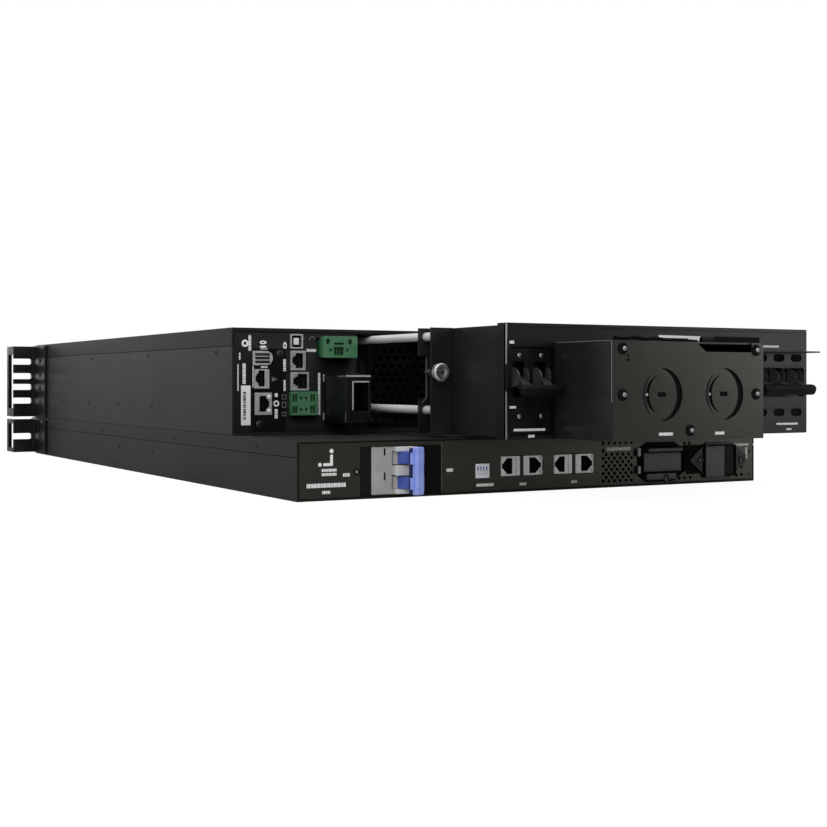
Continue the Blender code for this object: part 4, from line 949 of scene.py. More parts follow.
def make_thumbscrew():
    """The knurled captive screw that holds the distribution box to the UPS."""
    low, high = span("thumbscrew")
    middle = (low + high) / 2
    radius = 0.92 * (high.x - low.x) / 2
    shaft_end = high.y - low.y
    head = Shape()
    rim = [(0.5, -0.1), (0.93, 0.0), (0.98, 0.7), (0.98, 3.8), (0.92, 4.6), (0.84, 5.0), (0.6, 5.1), (0.5, 4.8), (0.0, 4.7)]
    profile = [(share * radius, height) for share, height in rim]
    head.turned("rear", (middle.x, low.y + 5.2, middle.z), profile, 144, 0.02, 36)
    head.piece("thumbscrew_head", NICKEL, "thumbscrew", "chrome_steel", ["thumbscrew"])
    shaft = Shape()
    neck = [(0, 0), (2.0, 0), (2.5, 0.6), (2.5, 14.0), (4.6, 15.0), (4.6, shaft_end - 5.4), (0, shaft_end - 5.4)]
    shaft.turned("rear", (middle.x, high.y, middle.z), neck, 24)
    for ring in range(8):
        shaft.turned("rear", (middle.x, high.y - 1.2 - ring * 1.1, middle.z), [(2.4, 0), (2.75, 0.3), (2.4, 0.6)], 24)
    shaft.piece("thumbscrew_shaft", BLACK_SCREW, "thumbscrew", "chrome_steel")
    # Painted shade: a flat black cross for the head's recess.
    cross = Shape()
    for turn in (0.5, 0.5 + math.pi / 2):
        bar = rounded(-2.6, -0.45, 2.6, 0.45, 0.3)
        cross.plate("rear", (middle.x, low.y + 0.45, middle.z), bar, depth=0.3, edge=0.05, turn=turn)
    cross.piece("thumbscrew_cross", BLACK_AND_SHADE, "thumbscrew", "chrome_steel")


# ---------------------------------------------------------------- distribution box


def tilted(pivot, degrees):
    """Places a part drawn round the origin at a pivot, tipped about the x axis."""
    return Matrix.Translation(pivot) @ Matrix.Rotation(math.radians(degrees), 4, "X")


TOGGLE_TILT = 22.0
TOGGLE_REACH = 21.8
POLE_PITCH = 19.05


def lever_side(reach, wide, tip):
    """The rounded side outline of a breaker lever, from its hub to its tip."""
    hub = arc(0, 0, wide, 60, 300, 16)
    end = arc(reach, 0, tip, -80, 80, 10)
    return hub + end


def make_toggle(node, pivot, poles, tie_low, tie_high, body):
    """A breaker handle: a rounded lever a pole, joined by a round-ended tie bar."""
    place = tilted(pivot, TOGGLE_TILT)
    levers = Shape()
    for pole in range(poles):
        x = (pole - (poles - 1) / 2) * POLE_PITCH
        lever = Shape()
        lever.plate("left", (x - 3.5, 0, 0), lever_side(TOGGLE_REACH - 1.0, 4.0, 3.4), depth=7.0, edge=1.6)
        for rib in (-1.6, 0.0, 1.6):
            lever.box((x + rib - 0.3, -TOGGLE_REACH + 4.5, 2.6), (x + rib + 0.3, -13.0, 3.7), 0.2)
        levers.add(lever.mesh, place)
    levers.piece(f"{node}_levers", LEVER, body, "black_plastic", [node])
    bar = Shape()
    bar.box((tie_low, -TOGGLE_REACH - 3.7, -4.2), (tie_high, -TOGGLE_REACH + 3.7, 4.2), 3.2, 4, place=place)
    for step in range(int((tie_high - tie_low - 8) / 3.2)):
        x = tie_low + 4 + step * 3.2
        bar.box((x, -TOGGLE_REACH - 3.85, -2.4), (x + 0.9, -TOGGLE_REACH - 3.0, 2.4), 0.3, place=place)
    bar.piece(f"{node}_tie_bar", POWDER_DARK_AND_SHADE, body, "black_plastic")


SCREW_HEIGHTS = (104.4, 60.2)
CHEEK = [(-0.1, 1.0), (0.35, 0.97), (0.72, 0.74), (0.95, 0.36), (1.0, 0.0), (0.95, -0.4), (0.72, -0.78), (0.35, -0.97), (-0.1, -1.0)]


def make_cap():
    """The folded cap over the box's rear, with windows for the breakers and oval holes for their screws."""
    low, high = span("pod_rear_cap")
    wall = 1.6
    gap = 0.05
    out_low, out_high = span("output_breaker_body")
    input_low, input_high = span("input_breaker_body")
    middle = (input_low.x + input_high.x) / 2
    windows = [rounded(out_low.x - gap, out_low.z - gap, out_high.x + gap, out_high.z + gap, 0.5)]
    windows.append(rounded(middle - 27.5, 73.2, middle + 27.5, 96.0, 1.0))
    for pole in (-1, 0, 1):
        x = middle + pole * POLE_PITCH
        windows += [rounded(x - 5.8, v - 2.9, x + 5.8, v + 2.9, 2.8) for v in SCREW_HEIGHTS]
    cap = Shape()
    face = rounded(low.x, low.z, high.x, high.z, 0.8)
    cap.plate("rear", (0, low.y, 0), face, windows, depth=out_low.y - low.y - 0.1, edge=0.35)
    for base, top in ((low.z, low.z + wall), (high.z - wall, high.z)):
        cap.box((low.x, low.y + 0.5, base), (high.x, high.y, top), 0.35)
    for left in (low.x, high.x - wall):
        cap.box((left, low.y + 0.5, low.z + 0.4), (left + wall, high.y, high.z - 0.4), 0.35)
    cap.piece("pod_cap", CAP_COAT, CHASSIS, "painted_black", ["pod_rear_cap"])


def make_distribution_box():
    """The box on the UPS's rear with both breakers, and painted highlights along the rear-left edges of its cap and its
    wiring box.
    """
    follow("pod_case", CASING, "painted_black", edge=0.4)
    make_cap()
    low, high = span("pod_rear_cap")
    box_low, box_high = span("terminal_box")
    # Painted highlights: bright metal strips along the rear-left edges of the cap and the wiring box, where light
    # catches their folds.
    edges = Shape()
    for base, top in ((low.z + 0.6, 78.2), (97.8, high.z - 0.6)):
        edges.box((low.x - 0.12, low.y - 0.12, base), (low.x + 0.75, low.y + 0.6, top), 0.1)
    edges.box((box_low.x - 0.1, box_low.y - 0.15, 71.0), (box_low.x + 0.7, box_low.y + 0.5, box_high.z - 0.4), 0.1)
    edges.piece("edge_highlight_strips", EDGE_HIGHLIGHT)
    folds = Shape()
    folds.box((low.x + 1, low.y - 0.08, 124.9), (high.x - 1, low.y + 0.3, 125.2), 0.05)
    folds.piece("cap_fold_lines", BLACK_AND_SHADE)
    # Painted shadow: a black bar along the gap above the wiring box.
    shadow_line = Shape()
    path = [(233, 118.3), (243, 117.9), (252, 118.8), (262, 117.6), (273, 118.4), (284, 117.3), (296, 117.2), (313, 116.6)]
    shadow_line.wire([(x, low.y - 0.2, z) for x, z in path], 1.25, 8)
    shadow_line.piece("cap_painted_shadow", BLACK_AND_SHADE)
    # Painted shade: a black plate behind the guard, where the box's opening lies in shadow.
    guard_low, guard_high = span("breaker_guard")
    tint = Shape().box((guard_low.x + 1, guard_low.y - 0.1, 109.6), (364.0, guard_low.y + 0.3, guard_high.z - 0.2), 0.1)
    tint.piece("guard_painted_shade", BLACK_AND_SHADE, CHASSIS, "black_plastic")
    # Painted highlight: a white wedge above the wiring box, for light glancing off a sheet.
    wedge = [(275, 121.0), (275, 119.0), (303, 118.8), (310.5, 116.0), (314.5, 116.0), (316.6, 120.6)]
    strip = Shape().plate("rear", (0, low.y - 0.2, 0), wedge, depth=0.25, edge=0.05)
    strip.piece("cap_painted_highlight", LABEL_AND_HIGHLIGHT_WHITE)
    # Painted highlight: a grey wire along the wiring box's top-left edge.
    fold_z = box_high.z + 0.1
    glint = Shape().wire([(box_low.x + 0.3, low.y - 1, fold_z), (box_low.x + 0.3, box_low.y + 1, fold_z)], 0.35, 6)
    glint.piece("cap_ledge_highlight", PRINT_GREY_AND_HIGHLIGHT)


def make_breakers():
    """Both breakers' faces and pole dividers, the output breaker's face screws, dark plates in the input breaker's
    screw holes, and their handles.
    """
    for label, poles in (("output", 2), ("input", 3)):
        node = f"{label}_breaker_body"
        follow(node, MOULDED, "black_plastic", edge=0.5)
        low, high = span(node)
        face = low.y
        middle = (low.x + high.x) / 2
        spots, dividers, wells = [], Shape(), Shape()
        for pole in range(poles):
            x = middle + (pole - (poles - 1) / 2) * POLE_PITCH
            spots += [(x, face - 0.1, v) for v in SCREW_HEIGHTS]
            for away, thick, proud in ((-5.8, 1.5, 9.6), (4.9, 0.9, 5.2)):
                cheek = [(88.5 + 6.6 * b, face - proud * a) for a, b in CHEEK]
                dividers.plate("left", (x + away, 0, 0), [(-y, z) for z, y in cheek], depth=-thick, edge=0.4)
            for v in SCREW_HEIGHTS:
                wells.plate("rear", (0, face - 2.2, 0), rounded(x - 5.6, v - 2.7, x + 5.6, v + 2.7, 2.6), depth=0.3)
        dividers.piece(f"{label}_breaker_dividers", LEVER, CHASSIS, "black_plastic")
        if label == "input":
            wells.piece("input_breaker_wells", BLACK_AND_SHADE, CHASSIS, "black_plastic")
        else:
            screw_heads("output_breaker_screws", ZINC, "rear", spots, 1.7, 0.7, slot="black_plastic")
        pivot = (middle, face + 5.5, 87.0)
        handle_low, handle_high = span(f"{label}_breaker_handle")
        half = (handle_high.x - handle_low.x) / 2
        make_toggle(f"{label}_breaker_handle", pivot, poles, -half, half, f"{label}_breaker_handle")
    follow("breaker_guard", SMOKE, "black_plastic", edge=0.25)


def make_terminal_box():
    """The wiring box: its cover's knockouts, their ties and slots, the keyhole and the cover screws."""
    follow("terminal_box", POWDER, "painted_black", edge=0.4)
    follow("terminal_block", MOULDED_GREY, "black_plastic")
    low, high = span("terminal_cover")
    face = low.y + 2.4
    notch_left, notch_right, notch_base = 253.0, 305.5, 106.8
    holes = []
    for u, v in ((221.3, 76.2), (278.4, 76.4)):
        holes.append(crescent(u, v, 18.7, 5.0, -92, 92))
        holes.append(crescent(u, v, 13.9, 2.6, 107, 253))
        holes.append(rounded(u - 3.5, v - 1.6, u + 3.5, v + 1.6, 0.4))
    outline = [(low.x, low.z), (high.x, low.z), (high.x, high.z), (notch_right, high.z)]
    outline += [(notch_right, notch_base), (notch_left + 9, notch_base), (notch_left, high.z), (low.x, high.z)]
    holes += [circle(191.6, 102.9, 1.3, 14), rounded(190.9, 99.6, 192.3, 103.0, 0.3)]
    cover = Shape().plate("rear", (0, face, 0), outline, holes, depth=1.2, edge=0.2)
    cover.piece("terminal_cover_plate", POWDER, CHASSIS, "painted_black", ["terminal_cover"])
    # Painted shade: black discs behind the knockouts and the keyhole, dark through the slits.
    hole_shadows = Shape()
    for u, v in ((221.3, 76.2), (278.4, 76.4)):
        hole_shadows.plate("rear", (0, face + 1.25, 0), circle(u, v, 20.5, 32), depth=0.12, edge=0.02)
    hole_shadows.box((189, face + 1.22, 98), (194, face + 1.3, 105), 0.02)
    # Painted shade: darker crescents on the cover beside each knockout's inner slit.
    shades = Shape()
    for u, v in ((221.3, 76.2), (278.4, 76.4)):
        shades.plate("rear", (0, face - 0.04, 0), crescent(u, v, 17.0, 2.6, 122, 238), depth=0.05, edge=0)
    shades.piece("knockout_painted_shade", POWDER_DARK_AND_SHADE)
    hole_shadows.piece("knockout_shadows", BLACK_AND_SHADE)
    # The ties are real bumps; their bright zinc colour is a painted highlight on each.
    ties = Shape()
    for u, v in ((221.3, 76.2), (278.4, 76.4)):
        ties.turned("rear", (u - 13.2, face, v), [(1.1, -0.4), (1.1, 0.1), (0.7, 0.4), (0, 0.45)], 14)
    ties.piece("knockout_ties", ZINC)
    spots = [(188.1, 108.3), (188.1, 76.2), (248.3, 50.6), (310.5, 108.3), (310.5, 76.3)]
    # Painted shadows: dark discs set off to one side of each cover screw.
    screw_shadows = Shape()
    for u, v in spots:
        screw_shadows.turned("rear", (u - 1.2, face, v), [(4.3, -0.1), (4.3, 0.25), (4.0, 0.4), (1.0, 0.4)], 24)
    screw_shadows.piece("cover_screw_shadows", BLACK_AND_SHADE)
    screw_heads("cover_screws", ZINC, "rear", [(u, face - 0.35, v) for u, v in spots], 1.8, 1.5)


def make_box_marks():
    """Blank dashes where the distribution box and its cover carry print."""
    cap = span("pod_rear_cap")[0].y - 0.1
    marks = Shape()
    ticks(
        marks,
        "rear",
        (0, cap, 0),
        [
            ((139.0, 143.5), (112.6, 114.8)),
            ((139.0, 145.0), (66.0, 67.8)),
            ((142.6, 170.5), (49.6, 51.4)),
            ((155.1, 160.6), (44.9, 46.8)),
            ((381.0, 399.0), (112.8, 114.4)),
            ((396.6, 419.9), (50.2, 51.8)),
            ((407.4, 413.2), (45.9, 47.4)),
        ],
    )
    marks.piece("cap_print", PRINT)
    cover = span("terminal_cover")[0].y + 2.3
    labels = Shape()
    ticks(labels, "rear", (0, cover, 0), [((219, 231.4), (47.4, 49.5)), ((270.5, 279), (47.2, 49.3))])
    labels.piece("cover_print", PRINT)


# ---------------------------------------------------------------- battery module's rear


def make_battery_panel():
    """The battery module's rear panel: its windows, vent holes and small screws."""
    low, high = span("battery_rear_panel")
    gap = 0.35
    windows = [rounded(50.0, 2.1, 118.0, 38.1, 0.5)]
    for node in ("address_switch", "com_jacks_left", "com_jacks_right"):
        part_low, part_high = span(node)
        windows.append(rounded(part_low.x - gap, part_low.z - gap, part_high.x + gap, part_high.z + gap, 0.3))
    windows.append(rounded(304.7, 10.0, 348.3, 28.6))
    windows.append(rounded(376.4, 9.4, 406.8, 30.2))
    radius = 1.4
    vents = []
    for column in range(11):
        x = 268.9 + 2.85 * column
        lift = 3.05 if column % 2 else 0.0
        for row in range(6):
            z = 5.2 + lift + 6.1 * row
            printed = x > 270.5 and 28.0 < z < 33.6
            if z < 36.0 and x < 298.5 and not printed:
                vents.append((x, z))
    vents += [(347.6, 4.9), (353.0, 5.2), (359.0, 5.2), (355.9, 9.0), (353.0, 34.0), (358.2, 33.9)]
    vents += [(410.0, 5.3), (415.7, 5.7), (415.7, 12.1)]
    windows += [circle(x, z, radius, 10) for x, z in vents]
    panel = Shape()
    panel.plate("rear", (0, low.y, 0), rounded(low.x, low.z, high.x, high.z, 0.6), windows, depth=1.5, edge=0.15)
    panel.piece("battery_rear_plate", REAR_COAT, CHASSIS, "painted_black", ["battery_rear_panel"])
    small = [(5.1, low.y, 25.7), (5.6, low.y, 5.6), (424.6, low.y, 25.7), (424.6, low.y, 5.6)]
    screw_heads("battery_rear_screws", BLACK_SCREW, "rear", small, 1.3, 0.5)
    spot = (47.4, low.y, 20.1)
    screw_heads("battery_breaker_screw", ZINC, "rear", [spot], 1.3, 0.5)
    collar = Shape().turned("rear", spot, [(2.5, -0.1), (2.5, 0.35), (2.0, 0.5), (1.4, 0.3)], 24)
    collar.piece("battery_breaker_screw_collar", BLACK_AND_SHADE)
    # Painted shade: a black plate right of the breaker's tie bar, over the part of its nose and shoulder that lies in
    # shadow behind the window.
    shade = Shape()
    shade.box((98.2, low.y + 0.3, low.z + 0.6), (117.9, low.y + 0.9, 38.0), 0.2)
    shade.piece("battery_breaker_shade_right", BLACK_AND_SHADE)
    # Painted shade: a darker plate beside the breaker's left side, where shadow falls in the window.
    side = Shape().box((50.1, low.y + 1.0, low.z + 0.6), (59.6, low.y + 2.0, 38.0), 0.2)
    side.piece("battery_breaker_shade_left", POWDER_DARK_AND_SHADE)
    lines = Shape()
    lines.box((118.3, low.y - 0.06, low.z + 1), (118.6, low.y + 0.2, high.z - 1), 0.02)
    lines.piece("battery_panel_line", PRINT_GREY_AND_HIGHLIGHT)


def make_battery_breaker():
    """The pale two-pole breaker: white blocks and slots on its face, blue arms and a paler tie bar."""
    follow("battery_breaker_body", DIN_GREY, "grey_plastic", edge=0.5)
    low, high = span("battery_breaker_body")
    face = low.y
    slots = Shape()
    for base, top in ((31.3, 36.6), (12.9, 18.9)):
        slots.plate("rear", (0, face - 0.19, 0), rounded(70.0, base, 71.4, top, 0.3), depth=0.08, edge=0.02)
    slots.piece("battery_breaker_slots", BLACK_AND_SHADE, CHASSIS, "grey_plastic")
    blocks = Shape()
    for base, top in ((low.z + 0.3, 6.2), (16.2, 23.8), (33.9, high.z - 0.3)):
        blocks.box((79.0, face - 3.6, base), (93.5, face + 0.5, top), 0.5)
    fill = Shape()
    fill.box((60.3, face - 0.15, low.z + 0.3), (76.9, face + 0.9, high.z - 0.3), 0.3)
    fill.piece("battery_breaker_slot_ends", DIN_GREY, CHASSIS, "grey_plastic")
    blocks.piece("battery_breaker_blocks", DIN_WHITE, CHASSIS, "grey_plastic")
    pivot = Vector((82.5, 6.5, 20.1))
    handle_low, handle_high = span("battery_breaker_handle")
    half = (handle_high.z - handle_low.z) / 2
    turn = Matrix.Translation(pivot) @ Matrix.Rotation(math.radians(TOGGLE_TILT), 4, "Z")
    arms = Shape()
    for z in (-9.2, 9.2):
        arm = Shape()
        side = [(-v, -u) for u, v in lever_side(TOGGLE_REACH - 1.0, 2.8, 2.8)]
        arm.plate("up", (0, 0, z + 4.5), side, depth=9.0, edge=0.7)
        arms.add(arm.mesh, turn)
    shutter = Shape()
    for z in (-9.2, 9.2):
        drum = [(-u, -v) for u, v in arc(0, 0, 5.2, -95, 95, 16)]
        shutter.plate("up", (pivot.x, pivot.y, pivot.z + z + 4.9), [(v, u) for u, v in drum], depth=9.8, edge=0.2)
    shutter.piece("battery_breaker_shutter", DIN_GREY, "battery_breaker_handle", "grey_plastic")
    arms.piece("battery_breaker_arms", DEEP_BLUE, "battery_breaker_handle", "blue_plastic", ["battery_breaker_handle"])
    bar = Shape()
    reach = TOGGLE_REACH
    bar.box((-5.2, -reach - 3.6, -half + 0.1), (3.3, -reach + 1.8, half - 0.1), 1.4, 3, place=turn)
    for z in (-9.2, 9.2):
        bar.box((0.0, -reach - 3.2, z - 6.6), (4.3, -reach + 1.6, z + 6.6), 1.6, 3, place=turn)
        bar.box((-6.9, -reach - 0.6, z - 4.3), (-4.9, -reach + 2.0, z + 4.3), 0.4, place=turn)
    bar.piece("battery_breaker_tie_bar", BLUE, "battery_breaker_handle", "blue_plastic")
    # Painted shade: a navy slab behind the tie bar that shows between the arms and past the bar's right edge.
    rear = Shape().box((-6.5, -reach + 1.4, -half + 0.9), (5.0, -reach + 3.5, half - 0.9), 0.6, place=turn)
    rear.piece("battery_breaker_tie_bar_shade", NAVY_SHADE, "battery_breaker_handle", "blue_plastic")


def make_address_switch():
    """The four-way address switch: pale body, dark guides and one lever a way."""
    low, high = span("address_switch")
    face = low.y
    guides = [
        rounded(centre(f"address_lever_{n}").x - 0.85, 14.6, centre(f"address_lever_{n}").x + 0.85, 20.4, 0.2)
        for n in range(1, 5)
    ]
    body = Shape()
    body.plate("rear", (0, face, 0), rounded(low.x, low.z, high.x, high.z, 0.5), guides, depth=1.6, edge=0.25)
    body.box((low.x + 0.3, face + 2.6, low.z + 0.3), (high.x - 0.3, high.y, high.z - 0.3), 0.2)
    body.piece("address_switch_body", DIP_WHITE, CHASSIS, "blue_plastic", ["address_switch"])
    floor = Shape().box((low.x + 0.5, face + 1.6, low.z + 0.5), (high.x - 0.5, face + 2.6, high.z - 0.5), 0.1)
    floor.piece("address_switch_guides", DEEP_BLUE, CHASSIS, "blue_plastic")
    for number in range(1, 5):
        node = f"address_lever_{number}"
        lever_low, lever_high = span(node)
        lever = Shape().box(lever_low, lever_high, 0.25)
        lever.box((lever_low.x + 0.15, lever_low.y - 0.0, (lever_low.z + lever_high.z) / 2 - 0.15),
                  (lever_high.x - 0.15, lever_low.y + 0.3, (lever_low.z + lever_high.z) / 2 + 0.15), 0.05)
        lever.piece(node + "_tip", DIP_LEVER, node, "white_plastic", [node])


def make_com_jacks():
    """Two pairs of shielded communication sockets, their latches facing away from each other."""
    wide = 17.3
    for label in ("left", "right"):
        node = f"com_jacks_{label}"
        low, high = span(node)
        housing = Shape().box((low.x + 0.4, low.y + 1.0, low.z + 0.3), (high.x - 0.4, low.y + 3.0, low.z + 0.8), 0.1)
        housing.box((low.x + wide, low.y + 0.9, low.z + 0.2), (high.x - wide, low.y + 3.0, high.z - 0.2), 0.1)
        housing.piece(f"{node}_housing", MOULDED, CHASSIS, "black_plastic", [node])
        first = (low.x, low.z, low.x + wide, high.z)
        hole = (low.x + 0.8, low.z + 1.6, low.x + 10.2, high.z - 1.6)
        make_jack(f"{node}_outer", first, hole, -1, low.y, slanted=True, look=TIN_BRIGHT)
        second = (high.x - wide, low.z, high.x, high.z)
        hole = (high.x - wide + 5.4, low.z + 1.6, high.x - 0.9, high.z - 1.6)
        make_jack(f"{node}_inner", second, hole, 1, low.y, None, True, True, TIN_BRIGHT)
        seam = Shape()
        for x in (low.x + 13.4,):
            seam.box((x, low.y - 0.05, low.z + 0.6), (x + 0.45, low.y + 0.3, high.z - 0.6), 0.03)
        seam.piece(f"{node}_fold", PRINT_GREY_AND_HIGHLIGHT, CHASSIS, "connector_shell")


def make_battery_connectors():
    """The two capped power connectors: flange, rim, cap and flange screws, with painted shade and painted highlights
    around them.
    """
    face = span("battery_connector_left")[0].y
    flange_face = face + 1.7
    flanges = {
        "left": ((304, 9), (313, 2.9), (341, 2.9), (350.5, 10), (350.5, 30), (341, 35.6), (313, 35.6), (304, 30)),
        "right": ((376, 4.6), (402, 4.6), (420, 16.4), (420, 22.6), (402, 34.4), (376, 34.4), (357.4, 19.5)),
    }
    rims = {"left": (306.6, 9.8, 351.0, 31.6), "right": (372.6, 5.6, 407.4, 32.0)}
    caps = {"left": (307.9, 11.4, 347.0, 26.9), "right": (373.4, 4.6, 394.4, 31.2)}
    for label in ("left", "right"):
        node = f"battery_connector_{label}"
        flange = Shape().plate("rear", (0, flange_face, 0), flanges[label], depth=1.0, edge=0.3)
        # The left flange takes the flat black as painted shade for the shadow it sits in; the right one keeps the
        # moulded black.
        look = BLACK_AND_SHADE if label == "left" else MOULDED
        flange.piece(f"{node}_flange", look, CHASSIS, "black_plastic", [node])
        u_low, v_low, u_high, v_high = rims[label]
        inner = rounded(u_low + 1.2, v_low + 1.4, u_high - 1.2, v_high - 1.4, 0.6)
        rim = Shape().plate("rear", (0, face, 0), rounded(*rims[label], 0.8), [inner], depth=2.4, edge=0.4)
        rim.box((u_low + 1, face + 1.9, v_low + 1), (u_high - 1, face + 2.4, v_high - 1), 0.1)
        rim.piece(f"{node}_rim", BLACK_AND_SHADE, CHASSIS, "black_plastic")
        u_low, v_low, u_high, v_high = caps[label]
        cap = Shape().box((u_low, face - 0.1, v_low), (u_high, face + 2.2, v_high), 0.7, 3)
        cap.box((u_low + 2, face - 0.35, v_high - 2.4), (u_high - 2, face + 0.2, v_high - 1.6), 0.2)
        cap.box((u_low + 2, face - 0.35, v_low + 1.6), (u_high - 2, face + 0.2, v_low + 2.4), 0.2)
        cap.piece(f"{node}_cap", MOULDED_GREY, CHASSIS, "black_plastic")
    # Stepped shape in the darker coat: the steps are shape, their darker colour is painted shade for the face darkening
    # towards its right.
    step = Shape()
    for number in range(4):
        x = 394.8 + 2.7 * number
        step.box((x, face + 0.2 + 0.35 * number, 7.4), (x + 2.4, face + 2.2, 30.4), 0.3)
    step.piece("battery_connector_right_steps", POWDER_DARK_AND_SHADE, CHASSIS, "black_plastic")
    lips = Shape()
    lips.box((313.0, face + 0.2, 27.4), (349.5, face + 1.9, 31.0), 0.8, 3)
    lips.box((312.0, face + 1.3, 4.6), (343.0, face + 2.2, 9.6), 0.3)
    lips.piece("battery_connector_left_lips", MOULDED_GREY, CHASSIS, "black_plastic")
    # Painted shadow: a black patch on the panel between the two connectors.
    shadow_patch = Shape()
    between = [(350.9, 32.4), (351.4, 12.0), (357.4, 8.0), (372.0, 8.0), (372.0, 32.4)]
    shadow_patch.plate("rear", (0, span("battery_rear_panel")[0].y - 0.1, 0), between, depth=0.12, edge=0.02)
    shadow_patch.piece("battery_connector_shadow", BLACK_AND_SHADE)
    # Painted highlights: grey lines along the right flange's creases, where they catch light.
    creases = Shape()
    for end in ((375.6, 5.6), (375.6, 33.6)):
        creases.wire([(358.2, flange_face, 19.5), (end[0], flange_face, end[1])], 0.3, 6)
    creases.piece("battery_connector_right_crease_highlights", PRINT_GREY_AND_HIGHLIGHT, CHASSIS, "black_plastic")
    # Painted highlights: light grey bars for the lit edge of a bracket left of the left connector.
    edge_bars = Shape()
    for base, top in ((10.4, 16.6), (24.4, 31.0)):
        edge_bars.box((302.0, face - 0.1, base), (304.8, face + 1.4, top), 0.4)
    edge_bars.piece("battery_connector_edge_highlights", HIGHLIGHT_GREY, CHASSIS, "black_plastic")
    rings = Shape()
    for x, z in ((332.2, 6.0), (369.2, 19.5), (414.4, 19.0)):
        ring = [(3.0, -0.1), (3.0, 0.5), (2.5, 0.8), (1.7, 0.6), (1.4, 0.15), (0, 0.1)]
        rings.turned("rear", (x, flange_face - 0.05, z), ring, 20)
    rings.piece("battery_connector_screws", BLACK_SCREW, CHASSIS, "black_plastic")


def make_battery_marks():
    """Blank dashes, bars and arrows where the battery module's panel carries print."""
    face = span("battery_rear_panel")[0].y - 0.1
    marks = Shape()
    ticks(
        marks,
        "rear",
        (0, face, 0),
        [
            ((122.9, 128.5), (17.6, 20.0)),
            ((149.2, 164.6), (5.4, 7.6)),
            ((188.6, 194.8), (4.9, 7.1)),
            ((237.6, 243.6), (4.9, 7.1)),
            ((272.5, 296.8), (29.6, 32.2)),
            ((407.5, 423.6), (30.4, 32.3)),
            ((420.0, 422.4), (19.1, 28.9)),
            ((36.3, 42.0), (16.9, 19.3)),
            ((19.4, 31.2), (20.9, 22.9)),
            ((19.4, 31.2), (17.9, 19.9)),
            ((7.6, 38.9), (9.6, 12.6)),
            ((19.8, 26.1), (5.0, 7.2)),
        ],
    )
    bars(marks, "rear", (0, face, 0), [((26.1, 28.3), (25.0, 33.0)), ((20.6, 26.1), (25.0, 27.0))])
    marks.plate("rear", (0, face, 0), circle(27.2, 35.6, 1.6, 16), depth=0.12, edge=0.02)
    marks.plate("rear", (0, face, 0), circle(18.0, 26.0, 1.4, 16), depth=0.12, edge=0.02)
    marks.piece("battery_print", PRINT)


# ---------------------------------------------------------------- front


def make_front():
    """The front bezels with their vent ribs, the display and the two buttons."""
    follow("ups_front_bezel", MOULDED, "black_plastic", edge=0.8, steps=3)
    follow("battery_front_bezel", MOULDED, "black_plastic", edge=0.8, steps=3)
    low, high = span("display_screen")
    follow("display_screen", GLASS, "screen_glass", edge=0.5)
    lit = Shape()
    face = high.y + 0.06
    place = (0, face, 0)
    for row in range(4):
        start, long = 188.0, 26.0 - 5.0 * (row % 3)
        base = 74.0 + 7.6 * row
        lit.plate("front", place, [(-u, v) for u, v in rounded(start, base, start + long, base + 2.2, 0.5)], depth=0.1, edge=0.02)
    for level in range(5):
        u = 222.0
        base = 73.5 + 6.2 * level
        lit.plate("front", place, [(-a, v) for a, v in rounded(u, base, u + 7.0, base + 4.4, 0.6)], depth=0.1, edge=0.02)
    lit.piece("display_bars", SCREEN_BLUE, CHASSIS, "screen_glass")
    for node, ring in (("power_button", 3.2), ("menu_button", 2.2)):
        button_low, button_high = span(node)
        middle = (button_low + button_high) / 2
        radius = (button_high.x - button_low.x) / 2
        tall = button_high.y - button_low.y
        cap = Shape().turned(
            "front",
            (middle.x, button_low.y, middle.z),
            [(0, 0), (radius, 0), (radius, tall - 1.2), (radius - 0.4, tall - 0.4), (radius - 1.3, tall), (0, tall - 0.5)],
            40,
        )
        cap.piece(node + "_cap", MOULDED_GREY, node, "black_plastic", [node])
        mark = Shape().plate(
            "front",
            (0, button_high.y - 0.02, 0),
            circle(-middle.x, middle.z, ring, 24),
            [circle(-middle.x, middle.z, ring - 0.7, 24)],
            depth=0.4,
            edge=0.05,
        )
        mark.piece(node + "_ring", PRINT, node, "black_plastic")
    lamps = Shape()
    for number in range(4):
        z = 70.0 + 11.5 * number
        lamps.turned("front", (168.0, high.y + 0.4, z), [(1.6, -1.0), (1.6, 0.3), (1.1, 0.7), (0, 0.8)], 18)
    lamps.piece("status_lamps", LAMP_GREEN, CHASSIS, "black_plastic")


# ---------------------------------------------------------------- inside


def make_internals():
    """The parts inside keep their CAD shapes with rounded edges; a black sheet before the ports is painted shade for
    the case's dark inside.
    """
    low, high = span("ups_rear_panel")
    shade_sheet = Shape().plate(
        "rear",
        (0, high.y + 8.0, 0),
        rounded(low.x + 1.5, low.z + 1.5, low.x + 165.0, high.z - 13.0, 2.0),
        depth=1.0,
        edge=0.2,
    )
    shade_sheet.piece("port_shade_sheet", BLACK_AND_SHADE, CHASSIS, "painted_black")
    for node, look, slot in (
        ("power_board", BOARD, "circuit_board"),
        ("battery_control_board", BOARD, "circuit_board"),
        ("heat_sink", ALUMINIUM, "bare_aluminium"),
        ("transformer", CORE, "transformer_core"),
        ("cell_pack", CELLS, "cell_wrap"),
    ):
        follow(node, look, slot, edge=0.3)


make_casings()
make_casing_screws()
make_ears()
make_rear_wall()
make_card()
make_wall_ports()
make_dry_contact_plug()
make_power_off_plug()
make_cable_socket()
make_wall_marks()
make_fan()
make_rods()
make_bracket()
make_thumbscrew()
make_distribution_box()
make_breakers()
make_terminal_box()
make_box_marks()
make_battery_panel()
make_battery_breaker()
make_address_switch()
make_com_jacks()
make_battery_connectors()
make_battery_marks()
make_front()
make_internals()


# ---------------------------------------------------------------- stage, light and camera


